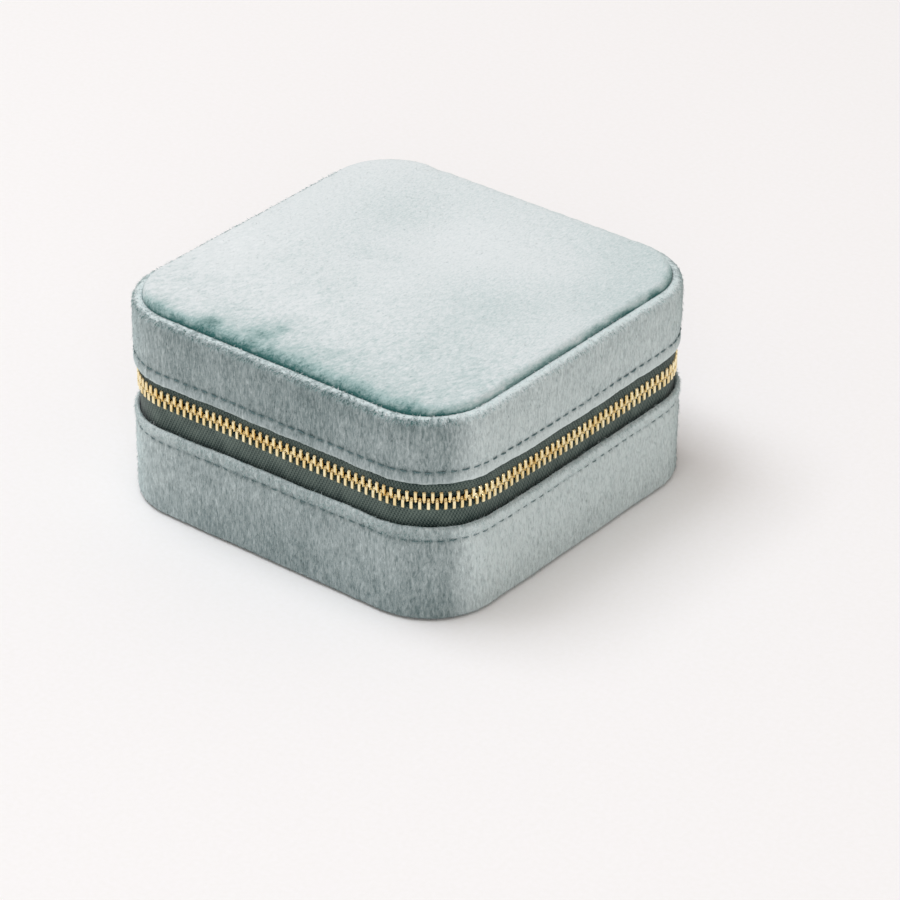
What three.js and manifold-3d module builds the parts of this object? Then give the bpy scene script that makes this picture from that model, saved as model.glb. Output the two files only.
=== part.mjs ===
// Travel jewelry case: a square velvet case with round corners. The base and the lid are closed by
// a metal zip that runs round the front, both sides and both back corners, and they are joined at
// the back by a fabric hinge. The base holds three compartments and a row of ring rolls, and the
// lid holds a framed mirror.
//
// Millimetres, +Z up. The origin is at the centre of the bottom face. The front is -Y, the hinge
// is at the back (+Y), and the zip's slider is parked on the left side (-X).
//
// The wall is built in layers. A layer's place is its inset: the distance inwards from the outer
// face of the case.

import * as THREE from 'three';
import { mergeVertices } from 'three/addons/utils/BufferGeometryUtils.js';
import Module from 'manifold-3d';

// ---- Driving dimensions: the case ----

const CASE_WIDTH = 100;
const CORNER_RADIUS = 18;
const CORNER_STEPS = 8;

const BASE_TOP = 24.4;
const CHAIN_HEIGHT = 30.2;
const LID_BOTTOM = 35.4;
const RIM_TOP = 51;

// ---- Driving dimensions: the layers of the wall, as insets ----

const CLEARANCE = 0.3;
const VELVET = { outer: 0, inner: 0.9 };
const TAPE = { outer: 1.2, inner: 1.8 };
const SHELL = { outer: 2.1, inner: 3.7 };
const LINING = { outer: 3.9, inner: 4.6 };
const INTERIOR_INSET = LINING.inner + CLEARANCE;

// ---- Driving dimensions: floors and roofs, as heights ----

const BOTTOM_VELVET_TOP = 1.1;
const BASE_SHELL = { bottom: 1.4, floor: 3, top: 23.1 };
const FLOOR_PAD = { bottom: 3.3, top: 4.3 };
const BASE_LINING_TOP = 24.1;
const LID_LINING = { bottom: 35.7, top: 44.9 };
const LID_SHELL = { bottom: 36.6, roof: 46.4, top: 47.9 };
const LID_FOAM = { bottom: 48.2, top: 49.5 };
const TOP_PANEL = { inset: 2.6, bottom: 49.8, edge: 50.3, crown: 51.2 };
const RIM_WIDTH = 2.2;
const RIM_FOOT = 48.3;
const LINING_THICKNESS = 0.7;

// ---- Driving dimensions: zip ----

const TAPE_OVERLAP = 4;
const ZIP_END = 22;
const TOOTH_PITCH = 2.05;
const TOOTH_WIDTH = 0.95;
const TEETH = { outer: 0.7, inner: 2.3 };
const CHAIN_HALF_WIDTH = 2;
const TOOTH_ROOT = 1.5;
const TOOTH_TIP = 0.15;
const STOP_LENGTH = 1.6;

// ---- Driving dimensions: slider and pull ----

const SLIDER_Y = 25.5;
const SLIDER_LENGTH = 10;
const SLIDER_NOSE_HALF_WIDTH = 3.8;
const SLIDER_TAIL_HALF_WIDTH = 3.2;
const SLIDER_PLATE = { inner: 1.1, thickness: 1 };
const SLIDER_SLOT = 0.9;
const POST = { nose: -4.6, length: 2.4, height: 2.2 };
const BRIDGE = { halfLength: 3.4, height: 4.4, radius: 0.5, bend: 0.9 };
const EYE = { outer: 1.6, inner: 0.85, length: 3.2 };
const PULL = { length: 21, halfWidth: 3.2, neckHalfWidth: 1.4, thickness: 1.2 };
const PULL_SLOT = { top: -7.5, bottom: -15.5, radius: 1.2 };

// ---- Driving dimensions: inside the case ----

const DIVIDER = { thickness: 2, top: 22, y: 1 };
const COMPARTMENTS = 3;
const RING_ROLLS = 4;
const ROLL = { width: 10.2, pitch: 10.6, top: 18.6, firstY: 7.8, endRound: 0.8 };
const HINGE_STRIP = { width: 43, bottom: 20.4, top: 39.4 };
const HINGE_LINING_WIDTH = 60;
const MIRROR = { width: 71, radius: 8, bottom: 43, top: 44.3 };
const MIRROR_WINDOW = { width: 66, radius: 6 };
const MIRROR_FRAME_BOTTOM = 41.5;
const MIRROR_BACKING = { bottom: 44.6, top: 46.1 };

// ---- Materials ----

const finish = (color, roughness, metalness = 0) =>
  new THREE.MeshStandardMaterial({ color, roughness, metalness });
const sideVelvet = () => finish(0x8f9b99, 0.95);
const topVelvet = () => finish(0xc3cecc, 0.95);
const liningVelvet = () => finish(0x9fb0ae, 0.95);
const zipTape = () => finish(0x39443f, 0.9);
const brass = () => finish(0xd9b063, 0.3, 1);
const mouldedShell = () => finish(0x2c2f30, 0.6);
const foam = () => finish(0xd8d4c8, 1);
const mirrorGlass = () => finish(0xe8eef0, 0.05, 1);

// ---- Booleans ----

const wasm = await Module();
wasm.setup();

/** Merges a geometry's shared vertices and drops the triangles that this leaves without area. */
function weld(geometry) {
  const bare = geometry.clone();
  bare.deleteAttribute('normal');
  bare.deleteAttribute('uv');
  const merged = mergeVertices(bare, 1e-4);
  const kept = [];
  for (let i = 0; i < merged.index.count; i += 3) {
    const corners = [0, 1, 2].map((j) => merged.index.getX(i + j));
    if (new Set(corners).size === 3) {
      kept.push(...corners);
    }
  }
  merged.setIndex(kept);
  merged.computeVertexNormals();
  return merged;
}

function toSolid(geometry) {
  const welded = weld(geometry);
  const mesh = new wasm.Mesh({
    numProp: 3,
    vertProperties: new Float32Array(welded.attributes.position.array),
    triVerts: new Uint32Array(welded.index.array),
  });
  return new wasm.Manifold(mesh);
}

function toGeometry(solid) {
  const mesh = solid.getMesh();
  const geometry = new THREE.BufferGeometry();
  geometry.setAttribute('position', new THREE.BufferAttribute(mesh.vertProperties, 3));
  geometry.setIndex(new THREE.BufferAttribute(mesh.triVerts, 1));
  geometry.computeVertexNormals();
  return geometry;
}

function join(...geometries) {
  return toGeometry(geometries.map(toSolid).reduce((whole, piece) => whole.add(piece)));
}

function cut(body, ...tools) {
  return toGeometry(tools.map(toSolid).reduce((rest, tool) => rest.subtract(tool), toSolid(body)));
}

function common(first, second) {
  return toGeometry(toSolid(first).intersect(toSolid(second)));
}

// ---- The outline of the case ----

const HALF_WIDTH = CASE_WIDTH / 2;
const CORNER_CENTRE = HALF_WIDTH - CORNER_RADIUS;
const STRAIGHT = 2 * CORNER_CENTRE;
const TAPE_MIDDLE = (TAPE.outer + TAPE.inner) / 2;
const CORNER_LENGTH = (Math.PI / 2) * (CORNER_RADIUS - TAPE_MIDDLE);
const SIDE_PITCH = CORNER_LENGTH + STRAIGHT;
const ZIP_RUN = { start: ZIP_END, end: 4 * SIDE_PITCH - ZIP_END };

/**
 * The place on the outer wall at a distance along the zip's tape, measured counter-clockwise from
 * the middle of the back: the point and the outward direction there.
 */
function wallPlace(distance) {
  const fromCorner = distance - STRAIGHT / 2;
  const corner = Math.floor(fromCorner / SIDE_PITCH);
  const past = fromCorner - corner * SIDE_PITCH;
  const startAngle = (corner + 1) * (Math.PI / 2);
  const angle = startAngle + Math.min(past / CORNER_LENGTH, 1) * (Math.PI / 2);
  const along = Math.max(past - CORNER_LENGTH, 0);
  const outward = new THREE.Vector2(Math.cos(angle), Math.sin(angle));
  const tangent = new THREE.Vector2(-outward.y, outward.x);
  const diagonal = startAngle + Math.PI / 4;
  const point = new THREE.Vector2(Math.sign(Math.cos(diagonal)), Math.sign(Math.sin(diagonal)));
  point.multiplyScalar(CORNER_CENTRE);
  point.addScaledVector(outward, CORNER_RADIUS);
  point.addScaledVector(tangent, along);
  return { point, outward };
}

/** The distances at which the wall needs a station: the steps of its four round corners. */
function cornerDistances() {
  const distances = [];
  for (let corner = 0; corner < 4; corner += 1) {
    for (let step = 0; step <= CORNER_STEPS; step += 1) {
      const past = (CORNER_LENGTH * step) / CORNER_STEPS;
      distances.push(STRAIGHT / 2 + corner * SIDE_PITCH + past);
    }
  }
  return distances;
}

function insetPoint(place, inset) {
  return place.point.clone().addScaledVector(place.outward, -inset);
}

// ---- Skinning ----

/**
 * Skins matching rings of points into one closed body. The outline holds the first ring's flat
 * shape, counter-clockwise seen from outside the body, and closes the two ends of an open run.
 */
function skin(rings, outline, isLoop) {
  const triangles = [];
  const count = outline.length;
  const spans = isLoop ? rings.length : rings.length - 1;
  for (let i = 0; i < spans; i += 1) {
    const near = rings[i];
    const far = rings[(i + 1) % rings.length];
    for (let j = 0; j < count; j += 1) {
      const next = (j + 1) % count;
      triangles.push(near[j], far[j], far[next]);
      triangles.push(near[j], far[next], near[next]);
    }
  }
  if (!isLoop) {
    for (const [a, b, c] of THREE.ShapeUtils.triangulateShape(outline, [])) {
      const last = rings[rings.length - 1];
      triangles.push(rings[0][a], rings[0][b], rings[0][c]);
      triangles.push(last[a], last[c], last[b]);
    }
  }
  return weld(new THREE.BufferGeometry().setFromPoints(triangles));
}

/** A wall section, given as [inset, height] pairs: up its outside and down its inside. */
function sectionAt(place, section) {
  return section.map(([inset, height]) => {
    const point = insetPoint(place, inset);
    return new THREE.Vector3(point.x, point.y, height);
  });
}

function sectionOutline(section) {
  return section.map(([inset, height]) => new THREE.Vector2(-inset, height));
}

/** A layer that goes all the way round the case. */
function ringWall(section) {
  const rings = cornerDistances().map((distance) => sectionAt(wallPlace(distance), section));
  return skin(rings, sectionOutline(section), true);
}

/** A layer that follows the wall only between two distances. */
function openWall(section, start, end) {
  const inside = cornerDistances().filter((distance) => distance > start && distance < end);
  const rings = [start, ...inside, end].map((distance) => sectionAt(wallPlace(distance), section));
  return skin(rings, sectionOutline(section), false);
}

/** A round-cornered slab given by its layers from the top down: inset, scale and height of each. */
function slab(layers) {
  const places = cornerDistances().map(wallPlace);
  const rings = layers.map(({ inset, scale = 1, z }) => places.map((place) => {
    const point = insetPoint(place, inset).multiplyScalar(scale);
    return new THREE.Vector3(point.x, point.y, z);
  }));
  const outline = rings[0].map((point) => new THREE.Vector2(point.x, point.y));
  return skin(rings, outline, false);
}

function plainSlab(inset, bottom, top) {
  return slab([{ inset, z: top }, { inset, z: bottom }]);
}

/** A square with round corners of its own, centred on the case. */
function squareSlab(width, radius, bottom, top) {
  const reach = width / 2 - radius;
  const shape = new THREE.Shape();
  shape.absarc(reach, reach, radius, 0, Math.PI / 2);
  shape.absarc(-reach, reach, radius, Math.PI / 2, Math.PI);
  shape.absarc(-reach, -reach, radius, Math.PI, 1.5 * Math.PI);
  shape.absarc(reach, -reach, radius, 1.5 * Math.PI, 2 * Math.PI);
  const settings = { depth: top - bottom, bevelEnabled: false, curveSegments: 3 };
  return new THREE.ExtrudeGeometry(shape, settings).translate(0, 0, bottom);
}

// ---- Scene helpers ----

function part(name, geometry, material) {
  const mesh = new THREE.Mesh(geometry, material);
  mesh.name = name;
  return mesh;
}

/** Turns a shape drawn in X and Y, and extruded along Z, to stand in Y and Z and run along X. */
function runAlongX(geometry) {
  const [x, y, z] = [0, 1, 2].map((axis) => new THREE.Vector3().setComponent(axis, 1));
  return geometry.applyMatrix4(new THREE.Matrix4().makeBasis(y, z, x));
}

/** An upright board or roll with a round top, running along X between two places. */
function roundTopped(width, bottom, top, length) {
  const radius = width / 2;
  const shape = new THREE.Shape();
  shape.moveTo(-radius, bottom);
  shape.lineTo(radius, bottom);
  shape.absarc(0, top - radius, radius, 0, Math.PI);
  const settings = { depth: length, bevelEnabled: false, curveSegments: 4 };
  return runAlongX(new THREE.ExtrudeGeometry(shape, settings).translate(0, 0, -length / 2));
}

// ---- Base: shell, velvet and lining ----

function baseShell() {
  const block = plainSlab(SHELL.outer, BASE_SHELL.bottom, BASE_SHELL.top);
  const hollow = plainSlab(SHELL.inner, BASE_SHELL.floor, BASE_SHELL.top + 1);
  return cut(block, hollow);
}

/** The side velvet turns under at the bottom and is folded into a soft lip at the top. */
function baseSideVelvet() {
  const { outer, inner } = VELVET;
  return ringWall([
    [outer + 0.6, 0.3],
    [outer, 1.2],
    [outer, BASE_TOP - 0.7],
    [outer + 0.25, BASE_TOP - 0.15],
    [(outer + inner) / 2, BASE_TOP],
    [inner, BASE_TOP - 0.3],
    [inner, 0.5],
  ]);
}

function baseBottomVelvet() {
  return slab([
    { inset: 1.3, z: BOTTOM_VELVET_TOP },
    { inset: 1.3, z: 0.3 },
    { inset: 1.6, z: 0 },
  ]);
}

/** The lining stands inside the shell and folds outwards over its top edge. */
function baseLining() {
  return ringWall([
    [LINING.outer, FLOOR_PAD.top + CLEARANCE],
    [LINING.outer, BASE_LINING_TOP - LINING_THICKNESS],
    [SHELL.outer, BASE_LINING_TOP - LINING_THICKNESS],
    [SHELL.outer, BASE_LINING_TOP],
    [LINING.inner, BASE_LINING_TOP],
    [LINING.inner, FLOOR_PAD.top + CLEARANCE],
  ]);
}

// ---- Base: compartments and ring rolls ----

function crossDivider() {
  const length = CASE_WIDTH - 2 * INTERIOR_INSET;
  const board = roundTopped(DIVIDER.thickness, FLOOR_PAD.top + CLEARANCE, DIVIDER.top, length);
  return board.translate(0, DIVIDER.y, 0);
}

/** A short divider runs from the front lining back to the cross divider. */
function shortDivider(x) {
  const front = -(HALF_WIDTH - INTERIOR_INSET);
  const back = DIVIDER.y - DIVIDER.thickness / 2 - CLEARANCE;
  const bottom = FLOOR_PAD.top + CLEARANCE;
  const board = roundTopped(DIVIDER.thickness, bottom, DIVIDER.top, back - front);
  return board.rotateZ(Math.PI / 2).translate(x, (front + back) / 2, 0);
}

/** A ring roll is a foam strip with a round top, trimmed to the round corners of the lining. */
function ringRoll(y) {
  const bottom = FLOOR_PAD.top + CLEARANCE;
  const strip = roundTopped(ROLL.width, bottom, ROLL.top, CASE_WIDTH).translate(0, y, 0);
  const room = slab([
    { inset: INTERIOR_INSET + ROLL.endRound, z: ROLL.top + 1 },
    { inset: INTERIOR_INSET, z: ROLL.top - ROLL.width / 2 },
    { inset: INTERIOR_INSET, z: 0 },
  ]);
  return common(strip, room);
}

function baseGroup() {
  const group = new THREE.Group();
  group.add(part('base_shell', baseShell(), mouldedShell()));
  group.add(part('base_side_velvet', baseSideVelvet(), sideVelvet()));
  group.add(part('base_bottom_velvet', baseBottomVelvet(), sideVelvet()));
  group.add(part('base_lining', baseLining(), liningVelvet()));
  const floor = plainSlab(INTERIOR_INSET, FLOOR_PAD.bottom, FLOOR_PAD.top);
  group.add(part('base_floor_pad', floor, liningVelvet()));
  group.add(part('cross_divider', crossDivider(), liningVelvet()));
  const compartmentPitch = (CASE_WIDTH - 2 * LINING.inner) / COMPARTMENTS;
  for (let i = 1; i < COMPARTMENTS; i += 1) {
    const x = (i - COMPARTMENTS / 2) * compartmentPitch;
    group.add(part(`short_divider_${i}`, shortDivider(x), liningVelvet()));
  }
  for (let i = 0; i < RING_ROLLS; i += 1) {
    const y = ROLL.firstY + i * ROLL.pitch;
    group.add(part(`ring_roll_${i + 1}`, ringRoll(y), liningVelvet()));
  }
  return group;
}

// ---- Lid ----

function lidShell() {
  const block = plainSlab(SHELL.outer, LID_SHELL.bottom, LID_SHELL.top);
  const hollow = plainSlab(SHELL.inner, LID_SHELL.bottom - 1, LID_SHELL.roof);
  return cut(block, hollow);
}

/** The lid's side velvet curls in at its lower edge and is folded over the top into a round rim. */
function lidSideVelvet() {
  const { outer, inner } = VELVET;
  const rimRadius = RIM_WIDTH / 2;
  const rim = [];
  const rimSteps = 6;
  for (let step = 0; step <= rimSteps; step += 1) {
    const angle = (Math.PI * step) / rimSteps;
    const inset = rimRadius - rimRadius * Math.cos(angle);
    rim.push([inset, RIM_TOP - rimRadius + rimRadius * Math.sin(angle)]);
  }
  return ringWall([
    [(outer + inner) / 2, LID_BOTTOM],
    [outer + 0.2, LID_BOTTOM + 0.4],
    [outer, LID_BOTTOM + 1.4],
    ...rim,
    [RIM_WIDTH, RIM_FOOT],
    [inner, RIM_FOOT],
    [inner, LID_BOTTOM + 0.3],
  ]);
}

/** The top panel is padded: low at its edge and crowned towards the middle of the lid. */
function lidTopVelvet() {
  const { inset, bottom, edge, crown } = TOP_PANEL;
  const layers = [];
  for (const scale of [0.3, 0.6, 0.8, 0.92, 0.985]) {
    layers.push({ inset, scale, z: edge + (crown - edge) * (1 - scale ** 4) });
  }
  return slab([...layers, { inset, z: edge - 0.1 }, { inset, z: bottom }]);
}

/** The lid's lining stands inside the shell and folds outwards under its lower edge. */
function lidLining() {
  return ringWall([
    [SHELL.outer, LID_LINING.bottom],
    [SHELL.outer, LID_LINING.bottom + LINING_THICKNESS],
    [LINING.outer, LID_LINING.bottom + LINING_THICKNESS],
    [LINING.outer, LID_LINING.top],
    [LINING.inner, LID_LINING.top],
    [LINING.inner, LID_LINING.bottom],
  ]);
}

/** The frame has a window, and a wider rebate above it that the mirror lies in. */
function mirrorFrame() {
  const { width, radius, bottom, top } = MIRROR;
  const board = plainSlab(INTERIOR_INSET, MIRROR_FRAME_BOTTOM, top);
  const window = squareSlab(MIRROR_WINDOW.width, MIRROR_WINDOW.radius, MIRROR_FRAME_BOTTOM - 1, top + 1);
  const rebate = squareSlab(width + 2 * CLEARANCE, radius, bottom - CLEARANCE, top + 1);
  return cut(board, window, rebate);
}

function lidGroup() {
  const group = new THREE.Group();
  group.add(part('lid_shell', lidShell(), mouldedShell()));
  group.add(part('lid_side_velvet', lidSideVelvet(), sideVelvet()));
  group.add(part('lid_foam', plainSlab(SHELL.outer + 1, LID_FOAM.bottom, LID_FOAM.top), foam()));
  group.add(part('lid_top_velvet', lidTopVelvet(), topVelvet()));
  group.add(part('lid_lining', lidLining(), liningVelvet()));
  const backing = plainSlab(INTERIOR_INSET, MIRROR_BACKING.bottom, MIRROR_BACKING.top);
  group.add(part('mirror_backing', backing, mouldedShell()));
  const mirror = squareSlab(MIRROR.width, MIRROR.radius, MIRROR.bottom, MIRROR.top);
  group.add(part('mirror', mirror, mirrorGlass()));
  group.add(part('mirror_frame', mirrorFrame(), liningVelvet()));
  return group;
}

// ---- Zip ----

/** Mirrors a section to the other side of the zip's centre line. */
function acrossChain(section) {
  return section.map(([inset, height]) => [inset, 2 * CHAIN_HEIGHT - height]).reverse();
}

function lowerTapeSection() {
  const bottom = BASE_TOP - TAPE_OVERLAP;
  const top = CHAIN_HEIGHT - CHAIN_HALF_WIDTH - CLEARANCE;
  return [[TAPE.outer, bottom], [TAPE.outer, top], [TAPE.inner, top], [TAPE.inner, bottom]];
}

function upperTapeSection() {
  const bottom = CHAIN_HEIGHT + CHAIN_HALF_WIDTH + CLEARANCE;
  const top = LID_BOTTOM + TAPE_OVERLAP;
  return [[TAPE.outer, bottom], [TAPE.outer, top], [TAPE.inner, top], [TAPE.inner, bottom]];
}

/** The lower row's section: a bead along the tape, with a tooth that rises from root to tip. */
function rowSection(tip) {
  const { outer, inner } = TEETH;
  const bead = CHAIN_HEIGHT - CHAIN_HALF_WIDTH;
  const root = CHAIN_HEIGHT - TOOTH_ROOT;
  return [[outer, bead], [outer, root], [outer, tip], [inner, tip], [inner, root], [inner, bead]];
}

/** The teeth round the slider's post stand aside, so the row has none there. */
function clearOfPost(distance) {
  const sliderDistance = STRAIGHT / 2 + CORNER_LENGTH + (CORNER_CENTRE - SLIDER_Y);
  const postMiddle = sliderDistance + POST.nose + POST.length / 2;
  return Math.abs(distance - postMiddle) > POST.length / 2 + TOOTH_WIDTH;
}

/** One row of teeth on its bead. The two rows are half a pitch apart, so they mesh. */
function toothRow(phase, place) {
  const low = CHAIN_HEIGHT - TOOTH_ROOT;
  const high = CHAIN_HEIGHT - TOOTH_TIP;
  const start = ZIP_RUN.start + STOP_LENGTH + 2 * CLEARANCE;
  const end = ZIP_RUN.end - STOP_LENGTH - 2 * CLEARANCE;
  const stations = [{ distance: start, tip: low }];
  let middle = start + TOOTH_WIDTH + phase * TOOTH_PITCH;
  while (middle + TOOTH_WIDTH < end) {
    const rise = middle - TOOTH_WIDTH / 2;
    const fall = middle + TOOTH_WIDTH / 2;
    const tip = clearOfPost(middle) ? high : low;
    stations.push({ distance: rise, tip: low }, { distance: rise, tip });
    stations.push({ distance: fall, tip }, { distance: fall, tip: low });
    middle += TOOTH_PITCH;
  }
  stations.push({ distance: end, tip: low });
  const rings = stations.map(({ distance, tip }) => sectionAt(wallPlace(distance), place(rowSection(tip))));
  return skin(rings, sectionOutline(place(rowSection(low))), false);
}

/** A metal stop clamped on the tape at one end of the zip. */
function zipStop(start, bottom, top) {
  const { outer, inner } = TEETH;
  const section = [[outer, bottom], [outer, top], [inner, top], [inner, bottom]];
  return openWall(section, start, start + STOP_LENGTH);
}

function lowerZip() {
  const group = new THREE.Group();
  const tape = openWall(lowerTapeSection(), ZIP_RUN.start, ZIP_RUN.end);
  group.add(part('zip_tape_lower', tape, zipTape()));
  group.add(part('zip_teeth_lower', toothRow(0, (section) => section), brass()));
  const bottom = CHAIN_HEIGHT - CHAIN_HALF_WIDTH;
  const stop = zipStop(ZIP_RUN.start + CLEARANCE, bottom, CHAIN_HEIGHT - TOOTH_TIP);
  group.add(part('zip_top_stop_lower', stop, brass()));
  const box = zipStop(ZIP_RUN.end - CLEARANCE - STOP_LENGTH, bottom, CHAIN_HEIGHT + CHAIN_HALF_WIDTH);
  group.add(part('zip_bottom_stop', box, brass()));
  return group;
}

function upperZip() {
  const group = new THREE.Group();
  const tape = openWall(upperTapeSection(), ZIP_RUN.start, ZIP_RUN.end);
  group.add(part('zip_tape_upper', tape, zipTape()));
  group.add(part('zip_teeth_upper', toothRow(0.5, acrossChain), brass()));
  const top = CHAIN_HEIGHT + CHAIN_HALF_WIDTH;
  const stop = zipStop(ZIP_RUN.start + CLEARANCE, CHAIN_HEIGHT + TOOTH_TIP, top);
  group.add(part('zip_top_stop_upper', stop, brass()));
  return group;
}

// ---- Slider and pull ----
//
// The slider's own axes are X along its opening travel (towards the front of the case), Y up and
// Z outwards. Its nose faces -X and holds the post that parts the two rows of teeth.

function sliderPlate(bottom) {
  const half = SLIDER_LENGTH / 2;
  const shape = new THREE.Shape();
  shape.moveTo(half, SLIDER_TAIL_HALF_WIDTH);
  shape.lineTo(0, SLIDER_TAIL_HALF_WIDTH);
  shape.quadraticCurveTo(-half, SLIDER_NOSE_HALF_WIDTH + 1, -half, 0);
  shape.quadraticCurveTo(-half, -SLIDER_NOSE_HALF_WIDTH - 1, 0, -SLIDER_TAIL_HALF_WIDTH);
  shape.lineTo(half, -SLIDER_TAIL_HALF_WIDTH);
  shape.closePath();
  const settings = { depth: SLIDER_PLATE.thickness, bevelEnabled: false, curveSegments: 5 };
  return new THREE.ExtrudeGeometry(shape, settings).translate(0, 0, bottom);
}

/** One of the four flanges that fold in from a plate's long edge and leave a slot for the tape. */
function sliderFlange(side, face) {
  const length = SLIDER_LENGTH / 2;
  const height = 0.7;
  const depth = SLIDER_PLATE.inner + SLIDER_PLATE.thickness / 2 - SLIDER_SLOT / 2;
  const flange = new THREE.BoxGeometry(length, height, depth);
  const y = side * (SLIDER_TAIL_HALF_WIDTH - height / 2);
  return flange.translate(length / 2, y, face * (SLIDER_SLOT / 2 + depth / 2));
}

/** The bridge that carries the pull: a round bar with both its ends bent down into the plate. */
function sliderBridge() {
  const { halfLength, height, radius, bend } = BRIDGE;
  const foot = SLIDER_PLATE.inner + SLIDER_PLATE.thickness / 2;
  const at = (x, z) => new THREE.Vector3(x, 0, z);
  const path = new THREE.CurvePath();
  const shoulder = height - bend;
  const reach = halfLength - bend;
  path.add(new THREE.LineCurve3(at(-halfLength, foot), at(-halfLength, shoulder)));
  path.add(new THREE.QuadraticBezierCurve3(at(-halfLength, shoulder), at(-halfLength, height), at(-reach, height)));
  path.add(new THREE.LineCurve3(at(-reach, height), at(reach, height)));
  path.add(new THREE.QuadraticBezierCurve3(at(reach, height), at(halfLength, height), at(halfLength, shoulder)));
  path.add(new THREE.LineCurve3(at(halfLength, shoulder), at(halfLength, foot)));
  const section = new THREE.Shape().absarc(0, 0, radius, 0, 2 * Math.PI);
  const settings = { steps: 16, extrudePath: path, curveSegments: 4, bevelEnabled: false };
  return new THREE.ExtrudeGeometry(section, settings);
}

function sliderBody() {
  const { inner, thickness } = SLIDER_PLATE;
  const post = new THREE.BoxGeometry(POST.length, POST.height, 2 * inner + thickness);
  post.translate(POST.nose + POST.length / 2, 0, 0);
  const flanges = [];
  for (const side of [-1, 1]) {
    for (const face of [-1, 1]) {
      flanges.push(sliderFlange(side, face));
    }
  }
  return join(sliderPlate(inner), sliderPlate(-inner - thickness), post, sliderBridge(), ...flanges);
}

function eyeCylinder(radius, length) {
  return new THREE.CylinderGeometry(radius, radius, length, 16).rotateZ(Math.PI / 2);
}

/** The pull hangs from an eye on the bridge: a flat tab with a slot and a round end. */
function pullTab() {
  const shape = new THREE.Shape();
  const shoulder = -(EYE.outer + 2);
  const roundCentre = -(PULL.length - PULL.halfWidth);
  shape.moveTo(PULL.neckHalfWidth, -EYE.inner);
  shape.lineTo(-PULL.neckHalfWidth, -EYE.inner);
  shape.lineTo(-PULL.halfWidth, shoulder);
  shape.absarc(0, roundCentre, PULL.halfWidth, Math.PI, 2 * Math.PI);
  shape.lineTo(PULL.halfWidth, shoulder);
  shape.closePath();
  const slot = new THREE.Path();
  slot.absarc(0, PULL_SLOT.top, PULL_SLOT.radius, 0, Math.PI);
  slot.absarc(0, PULL_SLOT.bottom, PULL_SLOT.radius, Math.PI, 2 * Math.PI);
  shape.holes.push(slot);
  const settings = { depth: PULL.thickness, bevelEnabled: false, curveSegments: 5 };
  const tab = new THREE.ExtrudeGeometry(shape, settings).translate(0, 0, -PULL.thickness / 2);
  const whole = join(tab, eyeCylinder(EYE.outer, EYE.length));
  return cut(whole, eyeCylinder(EYE.inner, 2 * EYE.length));
}

function sliderGroup() {
  const group = new THREE.Group();
  const alongTravel = new THREE.Vector3(0, -1, 0);
  const up = new THREE.Vector3(0, 0, 1);
  const outwards = new THREE.Vector3(-1, 0, 0);
  group.setRotationFromMatrix(new THREE.Matrix4().makeBasis(alongTravel, up, outwards));
  group.position.set(-(HALF_WIDTH - TAPE_MIDDLE), SLIDER_Y, CHAIN_HEIGHT);
  group.add(part('slider_body', sliderBody(), brass()));
  const pull = part('pull_tab', pullTab(), brass());
  pull.position.z = BRIDGE.height;
  group.add(pull);
  return group;
}

// ---- Hinge at the back ----

/** The outer strip is glued inside the velvet of the base and the lid and folds between them. */
function hingeStrip() {
  const { width, bottom, top } = HINGE_STRIP;
  const strip = new THREE.BoxGeometry(width, TAPE.inner - TAPE.outer, top - bottom);
  return strip.translate(0, HALF_WIDTH - TAPE_MIDDLE, (top + bottom) / 2);
}

/** The inner strip closes the gap between the two linings. */
function hingeLining() {
  const bottom = BASE_LINING_TOP + CLEARANCE;
  const top = LID_LINING.bottom - CLEARANCE;
  const thickness = LINING.inner - LINING.outer;
  const strip = new THREE.BoxGeometry(HINGE_LINING_WIDTH, thickness, top - bottom);
  return strip.translate(0, HALF_WIDTH - (LINING.outer + LINING.inner) / 2, (top + bottom) / 2);
}

function hingeGroup() {
  const group = new THREE.Group();
  group.add(part('hinge_strip', hingeStrip(), sideVelvet()));
  group.add(part('hinge_lining', hingeLining(), liningVelvet()));
  return group;
}

// ---- The case ----

const travelJewelryCase = new THREE.Group();
travelJewelryCase.add(baseGroup(), lidGroup(), lowerZip(), upperZip(), sliderGroup(), hingeGroup());

export default travelJewelryCase;
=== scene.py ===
"""The looks of a square velvet travel jewelry case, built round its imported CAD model.

Lengths are in millimetres until a mesh is made, when they become metres. +Z is up, the front is
-Y, the hinge is at the back and the zip's slider is on the left (-X). A place in the wall is an
inset, the distance inwards from the outer face, and a height.
"""

import math

import bmesh
import bpy
import numpy as np
from mathutils import Matrix, Vector


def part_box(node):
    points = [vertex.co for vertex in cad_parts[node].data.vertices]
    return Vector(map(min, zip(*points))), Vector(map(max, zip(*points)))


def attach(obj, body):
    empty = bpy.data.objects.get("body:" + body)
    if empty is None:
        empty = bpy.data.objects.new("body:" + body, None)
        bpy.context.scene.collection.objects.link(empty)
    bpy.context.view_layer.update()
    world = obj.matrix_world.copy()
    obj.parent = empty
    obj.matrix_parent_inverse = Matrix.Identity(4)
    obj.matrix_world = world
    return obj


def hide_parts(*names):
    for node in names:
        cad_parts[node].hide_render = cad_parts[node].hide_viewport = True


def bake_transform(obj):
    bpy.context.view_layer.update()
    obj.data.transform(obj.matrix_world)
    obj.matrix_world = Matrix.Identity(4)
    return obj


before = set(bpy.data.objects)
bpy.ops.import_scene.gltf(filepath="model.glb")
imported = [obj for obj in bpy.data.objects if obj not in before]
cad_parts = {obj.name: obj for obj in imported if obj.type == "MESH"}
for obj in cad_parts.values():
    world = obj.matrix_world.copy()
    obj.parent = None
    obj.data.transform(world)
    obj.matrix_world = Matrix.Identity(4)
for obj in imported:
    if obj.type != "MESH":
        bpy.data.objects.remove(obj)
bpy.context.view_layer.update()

MM = 0.001
UP = np.array([0.0, 0.0, 1.0])
DOWN = np.array([0.0, 0.0, -1.0])


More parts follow.
